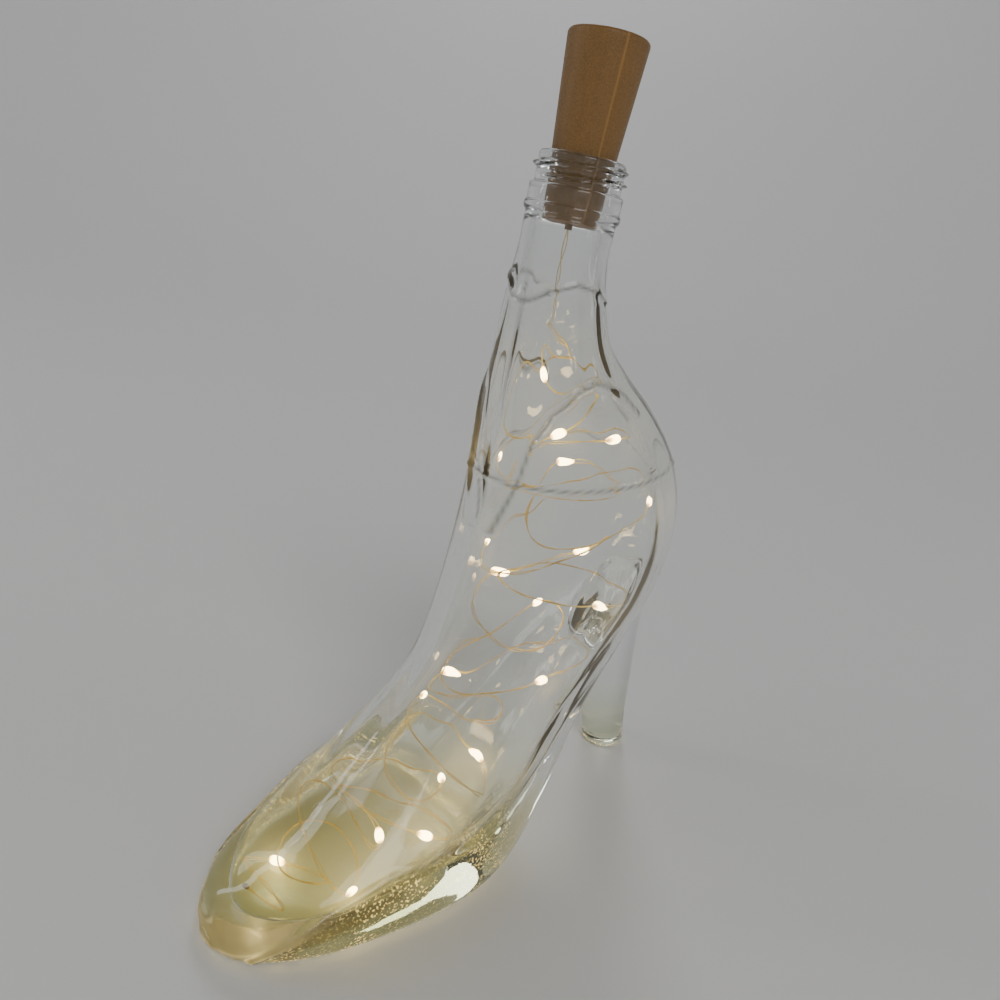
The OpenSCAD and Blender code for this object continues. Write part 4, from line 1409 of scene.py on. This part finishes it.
@dataclass
class LightString:
    """The twin wire with its drops, from the stopper down to the toe.

    The loops wind down the cavity. At the share s of the wire the turn is
    a = 360 loops s, the row runs evenly from first_row to last_row and wanders a
    little, and the reach is a share of the room in that row, which wanders too.
    """

    shoe: GlassShoe
    wire_d: float = 0.6
    strand_r: float = 0.15
    strand_gap: float = 0.16
    strand_spread: float = 0.42
    loops: int = 18
    first_row: float = 3.35
    last_row: float = 16.7
    reach: float = 0.66
    reach_wander: float = 0.26
    row_wander: float = 0.3
    row_turns: float = 1.29
    reach_turns: float = 0.53
    row_phase: float = 40.0
    reach_phase: float = 20.0
    first_angle: float = 30.0
    row_run: float = 20.0
    reach_run: float = 12.0
    count: int = 20
    drop_d: float = 3.0
    drop_l: float = 5.6
    gap: float = 0.3
    loop_rings: int = 24
    finer: int = 3
    slack: int = 3
    halo: float = 6.0
    strand_sides: int = 6
    twist: float = 23.0
    twist_drift: float = 1.5
    drift_l: float = 31.0
    parting_l: float = 17.0
    short_parting_l: float = 7.3
    drop_sides: int = 14
    drop_rings: int = 21
    drop_lean: float = 0.28
    tail: float = 0.13
    heart_fall: float = 1.6
    lead_rings: int = 48
    # along, across and up of the lead's bends, in thousandths of its drop
    lead_bends: tuple[tuple[int, int, int], ...] = (
        (0, 0, 0), (-4, -4, -200), (-35, -25, -410), (-35, -40, -620)
    )
    lead_run: float = 0.19
    seal_rings: int = 16
    seal_l: float = 2.4
    seal_d: float = 1.6
    stub_z: float = 221.3

    def route(self) -> tuple[Array, Array]:
        """Points of the loops and the outward way at each.

        Returns:
            The points in millimetres, and a vector at each that leads away from
            the middle of the loops.
        """
        s = np.linspace(0, 1, self.loops * self.loop_rings + 1)
        a = 360 * self.loops * s
        ends = np.minimum(1, np.minimum(s, 1 - s) * self.row_run)
        t = self.first_row + (self.last_row - self.first_row) * s
        wander = np.sin(np.radians(a * self.row_turns + self.row_phase))
        t = t + self.row_wander * wander * ends
        row = self.shoe.cavity_rows(t)
        margin = self.drop_d / 2 + self.gap
        swing = np.sin(np.radians(a * self.reach_turns + self.reach_phase))
        reach = (self.reach + self.reach_wander * swing) * np.minimum(1, s * self.reach_run)
        chord = row[:, 2:4] - row[:, 0:2]
        room = np.linalg.norm(chord, axis=1) / 2
        turn = np.radians(a + self.first_angle)
        cos, sin = np.cos(turn), np.sin(turn)
        along = np.maximum(0, room - margin) / room * reach * cos
        side = np.maximum(0, row[:, 4] - margin) * reach * sin
        middle = (row[:, 0:2] + row[:, 2:4]) / 2
        at = middle + chord / 2 * along[:, None]
        points = np.stack([at[:, 0] + self.shoe.neck_x, side, at[:, 1]], -1)
        way = unit(chord)
        return points, np.stack([way[:, 0] * cos, sin, way[:, 1] * cos], -1)

    def lead(self, start: Array, way: Array) -> Array:
        """Points of the lead from the stub down to the loops, as shares of its drop.

        Args:
            start: where the loops start.
            way: the way that they start.

        Returns:
            The points in millimetres, the last one left out.
        """
        top = np.array([self.shoe.neck_x, 0, self.stub_z])
        drop = self.stub_z - start[2]
        points = np.concatenate([
            top + np.array(self.lead_bends) / 1000 * drop,
            [start - way * self.lead_run * drop, start],
        ])
        return smooth_rows(points, np.linspace(0, len(points) - 1, self.lead_rings + 1))[:-1]

    def strands(self) -> bpy.types.Object:
        """The two lacquered strands, twisted loosely round their common line.

        A strand's line is the route moved out along a way that makes about one turn
        in the twist's length, and the other strand lies across from it. Here and
        there the two strands part a little.

        Returns:
            The twin wire.
        """
        rough, away = self.route()
        at = np.linspace(0, len(rough) - 1, (len(rough) - 1) * self.finer + 1)
        loops, outward = smooth_rows(rough, at), smooth_rows(away, at)
        for _ in range(self.slack):
            loops[1:-1] += 0.5 * ((loops[:-2] + loops[2:]) / 2 - loops[1:-1])
        lead = self.lead(rough[0], unit(rough[1] - rough[0]))
        path = np.concatenate([lead, loops])
        side = np.concatenate([np.repeat(outward[:1], len(lead), 0), outward])
        first, second = square_axes(path, side)
        length = lengths(path)
        drift = self.twist_drift * np.sin(length / self.drift_l)
        turn = (2 * np.pi * length / self.twist + drift)[:, None]
        shorter = np.sin(length / self.short_parting_l + 1)
        spread = np.clip(np.sin(length / self.parting_l) + 0.5 * shorter, 0, 1)
        gap = (self.strand_gap + self.strand_spread * spread)[:, None]
        offset = gap * (np.cos(turn) * first + np.sin(turn) * second)
        sides = self.strand_sides
        one, faces = capped(tube_rings(path + offset, side, self.strand_r, sides))
        other, _ = capped(tube_rings(path - offset, side, self.strand_r, sides))
        points = np.concatenate([one, other])
        wire = mesh_piece("twin_wire", points * MM, np.concatenate([faces, faces + len(one)]))
        along = np.concatenate([np.repeat(length, sides), [length[0], length[-1]]])
        point_values(wire, "along", np.concatenate([along, along]) * MM)
        # how much painted glow the wire gets from the drops close by
        lights = self.places()[0]
        near = np.stack([np.linalg.norm(points - light, axis=1) for light in lights]).min(0)
        point_values(wire, "lit", self.halo**2 / (near**2 + self.halo**2))
        settle(wire, WIRE, None, "lead_wire", "light_wire")
        self.path, self.length = path, length
        return wire

    def places(self) -> tuple[Array, Array, Array]:
        """Middle, way and side of each light, at even steps along the loops."""
        points, _ = self.route()
        length = lengths(points)
        want = length[-1] / self.count * (np.arange(self.count) + 0.5)
        i = np.clip(np.searchsorted(length, want, side="right") - 1, 0, len(points) - 2)
        a, b = points[i], points[i + 1]
        way = unit(b - a)
        middle = a + way * (want - length[i])[:, None]
        up = np.where(np.abs(way[:, 2:3]) < 0.9, [[0.0, 0, 1]], [[1.0, 0, 0]])
        return middle, way, unit(np.cross(way, up))

    def drops(self) -> bpy.types.Object:
        """The resin drops: a profile of shares turned round each light's wire.

        The radius at the share x of the drop's length is an egg-shaped bulb,
        sqrt(1 - (2x)^2) leaned towards one end, over short tails along the wire.

        Returns:
            One mesh of all the drops.
        """
        middle, way, side = self.places()
        other = np.cross(way, side)
        x = np.sin(np.linspace(-np.pi / 2, np.pi / 2, self.drop_rings)) / 2
        bulb = np.sqrt(np.clip(1 - (2 * x) ** 2, 0, 1)) * (1 + self.drop_lean * x)
        radius = np.maximum(bulb, self.tail)
        heart = np.clip(1 - np.abs(x * 2) ** self.heart_fall, 0, 1)
        sides = self.drop_sides
        a = circle(sides)
        round_way = np.cos(a)[:, None, None] * side + np.sin(a)[:, None, None] * other
        points, faces, glow = [], [], []
        for k in range(self.count):
            line = middle[k] + way[k] * self.drop_l * x[:, None]
            out = self.drop_d / 2 * radius[:, None, None] * round_way[None, :, k]
            made, rows = capped(line[:, None] + out)
            points.append(made)
            faces.append(rows + k * len(made))
            glow.append(np.concatenate([np.repeat(heart, sides), heart[[0, -1]]]))
        piece = mesh_piece("light_drops", np.concatenate(points) * MM, np.concatenate(faces))
        point_values(piece, "heart", np.concatenate(glow))
        return settle(piece, LIT, Body.BOTTLE, "led_drops")

    def seal(self) -> bpy.types.Object:
        """The resin blob on the wire's end, turned round the wire's way as an egg."""
        points, _ = self.route()
        way = unit(points[-1] - points[-2])
        side = unit(np.cross(way, [0.0, 0, 1]))
        a = np.linspace(0.25, np.pi - 0.05, self.seal_rings)
        line = points[-1] + way * (self.seal_l / 2 * (1 - np.cos(a)))[:, None]
        turn = circle(self.drop_sides)
        around = np.cos(turn)[:, None] * side + np.sin(turn)[:, None] * np.cross(way, side)
        rings = line[:, None] + (self.seal_d / 2 * np.sin(a))[:, None, None] * around[None]
        piece = mesh_piece("wire_end_seal", *capped_scaled(rings))
        return settle(piece, RESIN, Body.BOTTLE, "end_seal")

    def build(self, chips: bpy.types.Object) -> None:
        """Args:
            chips: the frame's own chips, which are on the cord too; not used.
        """
        wire = self.strands()
        drops, seal = self.drops(), self.seal()
        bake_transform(wire)


# ---------------------------------------------------------------- the stopper


@dataclass
class Stopper:
    """The cork-shaped battery housing and all that it holds."""

    shoe: GlassShoe
    depth: float = 17.0
    length: float = 48.0
    top_r: float = 11.5
    bottom_r: float = 8.25
    rim: float = 1.4
    edge: float = 0.5
    floor: float = 2.4
    hole_r: float = 0.8
    bevel: float = 0.15
    sides: int = 288
    wall_rings: int = 40
    parting: float = 65.0
    parting_height: float = 0.06
    parting_spread: float = 3.0
    sharp_angle: float = 50.0
    carrier_bore_r: float = 6.81
    head_bore_r: float = 9.18
    head_z: float = 36.4

    def shell(self) -> bpy.types.Object:
        """The shell, its profile turned round the neck's axis.

        The outside tapers straight from the rounded top rim to the lower edge, and
        the mould's parting line stands out a little on both sides.

        Returns:
            The shell.
        """
        a = np.radians(np.linspace(0, 90, 12))
        outer = np.stack([
            np.linspace(self.bottom_r, self.top_r, self.wall_rings),
            np.linspace(self.edge, self.length - self.rim, self.wall_rings),
        ], -1)
        rim = np.stack([
            self.top_r - self.rim * (1 - np.cos(a)),
            self.length - self.rim * (1 - np.sin(a)),
        ], -1)[1:]
        low = np.stack([
            self.bottom_r - self.edge * (1 - np.sin(a)),
            self.edge * (1 - np.cos(a)),
        ], -1)[:-1]
        inner = np.array([
            [self.head_bore_r + self.bevel, self.length],
            [self.head_bore_r, self.length - self.bevel],
            [self.head_bore_r, self.head_z],
            [self.carrier_bore_r, self.head_z],
            [self.carrier_bore_r, self.floor],
            [self.hole_r, self.floor],
            [self.hole_r, 0],
        ])
        profile = np.concatenate([low, outer, rim, inner])
        sides = self.sides
        base = (self.shoe.neck_x, 0, self.shoe.mouth - self.depth)
        rings = turned_rings(profile, sides, (0, 0, 0))
        turn = np.arange(sides) * 360 / sides
        off = np.mod(turn - self.parting + 90, 180) - 90
        line = np.exp(-(off**2) / self.parting_spread)
        count = len(low) + len(outer)
        r = np.hypot(rings[:count, :, 0], rings[:count, :, 1])[..., None]
        rings[:count, :, :2] *= 1 + self.parting_height * line[None, :, None] / r
        rings = rings + np.asarray(base)
        points, faces = rings.reshape(-1, 3), ring_faces(len(rings), sides)
        wrap = ring_faces(2, sides)
        last = (len(rings) - 1) * sides
        wrap = np.where(wrap >= sides, wrap - sides, wrap + last)
        piece = mesh_piece("cork_housing", points * MM, np.concatenate([faces, wrap]))
        # where the parting line lies, for its painted highlight
        point_values(piece, "parting", np.tile(line, len(rings)))
        piece.data.set_sharp_from_angle(angle=math.radians(self.sharp_angle))
        return settle(piece, CORK, Body.STOPPER, "cork_shell")

    def build(self, nodes: dict[str, bpy.types.Object]) -> None:
        """Make the shell and dress the frame's own pieces.

        Args:
            nodes: the frame's nodes by name.
        """
        self.shell()
        finishes: dict[str, Finish] = {
            "head_cover": CORK, "battery_carrier": DARK, "circuit_board": BOARD,
            "switch_frame": STEEL, "switch_base": LAMINATE, "switch_slider": BLACK,
            "switch_terminals": NICKEL, "resistor": BLACK, "button_cell_1": CELL,
            "button_cell_2": CELL, "button_cell_3": CELL, "contact_spring": NICKEL,
            "contact_plate": NICKEL, "return_strip": NICKEL, "centre_contact": NICKEL,
            "side_contact": NICKEL, "solder_joints": SOLDER, "inner_leads": NICKEL,
            "strain_relief": CORK, "led_chips": CHIP,
        }
        for name, finish in finishes.items():
            slots = nodes[name].data.materials
            if len(slots) == 0:
                slots.append(finish.material())
            for i in range(len(slots)):
                slots[i] = finish.material()
            LOG.info("%s: %s", name, finish.name)


# ---------------------------------------------------------------- studio


@dataclass(frozen=True)
class Lamp:
    """One soft light: its place and size in metres, its power in watts, its colour."""

    name: str
    place: tuple[float, float, float]
    size: tuple[float, float]
    power: float
    colour: Colour = (1.0, 1.0, 1.0)

    def hang(self, aim: Sequence[float]) -> None:
        """Hang the light so that it faces a place.

        Args:
            aim: the place, in metres.
        """
        data = bpy.data.lights.new(self.name, "AREA")
        data.shape, data.size, data.size_y = "RECTANGLE", *self.size
        data.energy, data.color = self.power, self.colour
        lamp = bpy.data.objects.new(self.name, data)
        lamp.location = self.place
        way = Vector(aim) - Vector(self.place)
        lamp.rotation_mode = "QUATERNION"
        lamp.rotation_quaternion = way.to_track_quat("-Z", "Y")
        bpy.context.scene.collection.objects.link(lamp)


@dataclass
class Studio:
    """Pale floor, soft light and the camera at the photograph's place."""

    place: tuple[float, float, float] = (-0.198, -0.161, 0.224)
    heading: float = 48.88
    pitch: float = 19.9
    roll: float = 12.0
    focal: float = 0.8
    sensor: float = 36.0
    air_film: float = 0.0003
    flat_r: float = 1.2
    floor_r: float = 7.0
    floor_sides: int = 96
    steepening: float = 2.6
    aim: tuple[float, float, float] = (0.0, 0.0, 0.11)
    room: Colour = (0.8, 0.83, 0.87)
    room_strength: float = 0.1
    lamps: tuple[Lamp, ...] = (
        Lamp("key", (-2.2, -4.0, 4.6), (3.0, 3.0), 105.0, (1.0, 0.98, 0.96)),
        Lamp("fill", (-4.8, 2.0, 3.2), (2.4, 2.4), 30.0, (0.93, 0.96, 1.0)),
        Lamp("back", (3.2, 3.4, 4.0), (1.8, 1.8), 64.0, (0.97, 0.98, 1.0)),
        Lamp("left_strip", (-0.62, 0.7, 0.62), (0.08, 0.8), 0.9),
        Lamp("right_strip", (0.66, -0.72, 0.62), (0.08, 0.8), 0.45),
    )

    def camera(self) -> None:
        """Place the camera from its heading, pitch and roll."""
        a, p, r = (math.radians(v) for v in (self.heading, self.pitch, self.roll))
        ahead = Vector((
            math.sin(a) * math.cos(p), math.cos(a) * math.cos(p), -math.sin(p)
        ))
        right = Vector((math.cos(a), -math.sin(a), 0))
        up = right.cross(ahead)
        turned_right = right * math.cos(r) + up * math.sin(r)
        turned_up = up * math.cos(r) - right * math.sin(r)
        axes = Matrix((turned_right, turned_up, -ahead)).transposed().to_4x4()
        data = bpy.data.cameras.new("camera")
        data.sensor_fit = "HORIZONTAL"
        data.sensor_width = self.sensor
        data.lens = self.sensor * self.focal
        data.clip_start, data.clip_end = 0.01, 50.0
        camera = bpy.data.objects.new("camera", data)
        camera.matrix_world = Matrix.Translation(self.place) @ axes
        bpy.context.scene.collection.objects.link(camera)
        bpy.context.scene.camera = camera

    def floor(self) -> None:
        """A wide dish: flat in the middle and rising smoothly all round."""
        sides = self.floor_sides
        r = np.concatenate([
            [0.02], np.linspace(0.3, self.flat_r, 8), np.linspace(1.4, self.floor_r, 30)
        ])
        share = np.maximum(0, r - self.flat_r) / (self.floor_r - self.flat_r)
        up = self.floor_r * share**self.steepening
        rings = turned_rings(np.stack([r, up - self.air_film], -1), sides, (0, 0, 0))
        points = np.concatenate([rings.reshape(-1, 3), [[0, 0, -self.air_film]]])
        k = np.arange(sides)
        middle = np.stack([np.full(sides, len(points) - 1), k, (k + 1) % sides], -1)
        quads = ring_faces(len(rings), sides)[:, ::-1]
        floor = linked("studio_floor", points, quads.tolist() + middle.tolist())
        floor.data.materials.append(FLOOR.material())

    def build(self) -> None:
        """Make the camera, the floor, the lights and the room's own light."""
        self.camera()
        self.floor()
        world = bpy.data.worlds.new("room")
        world.use_nodes = True
        ground = world.node_tree.nodes["Background"]
        ground.inputs["Color"].default_value = (*self.room, 1.0)
        ground.inputs["Strength"].default_value = self.room_strength
        bpy.context.scene.world = world
        for lamp in self.lamps:
            lamp.hang(self.aim)


def main() -> None:
    """Build the studio and the pieces in order."""
    logging.basicConfig(level=logging.INFO, format="%(name)s %(message)s")
    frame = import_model()
    Studio().build()
    shoe = GlassShoe()
    string = LightString(shoe)
    string.build(frame["nodes"]["led_chips"])
    shoe.build(string.places()[0])
    Stopper(shoe).build(frame["nodes"])


if __name__ == "__main__":
    main()
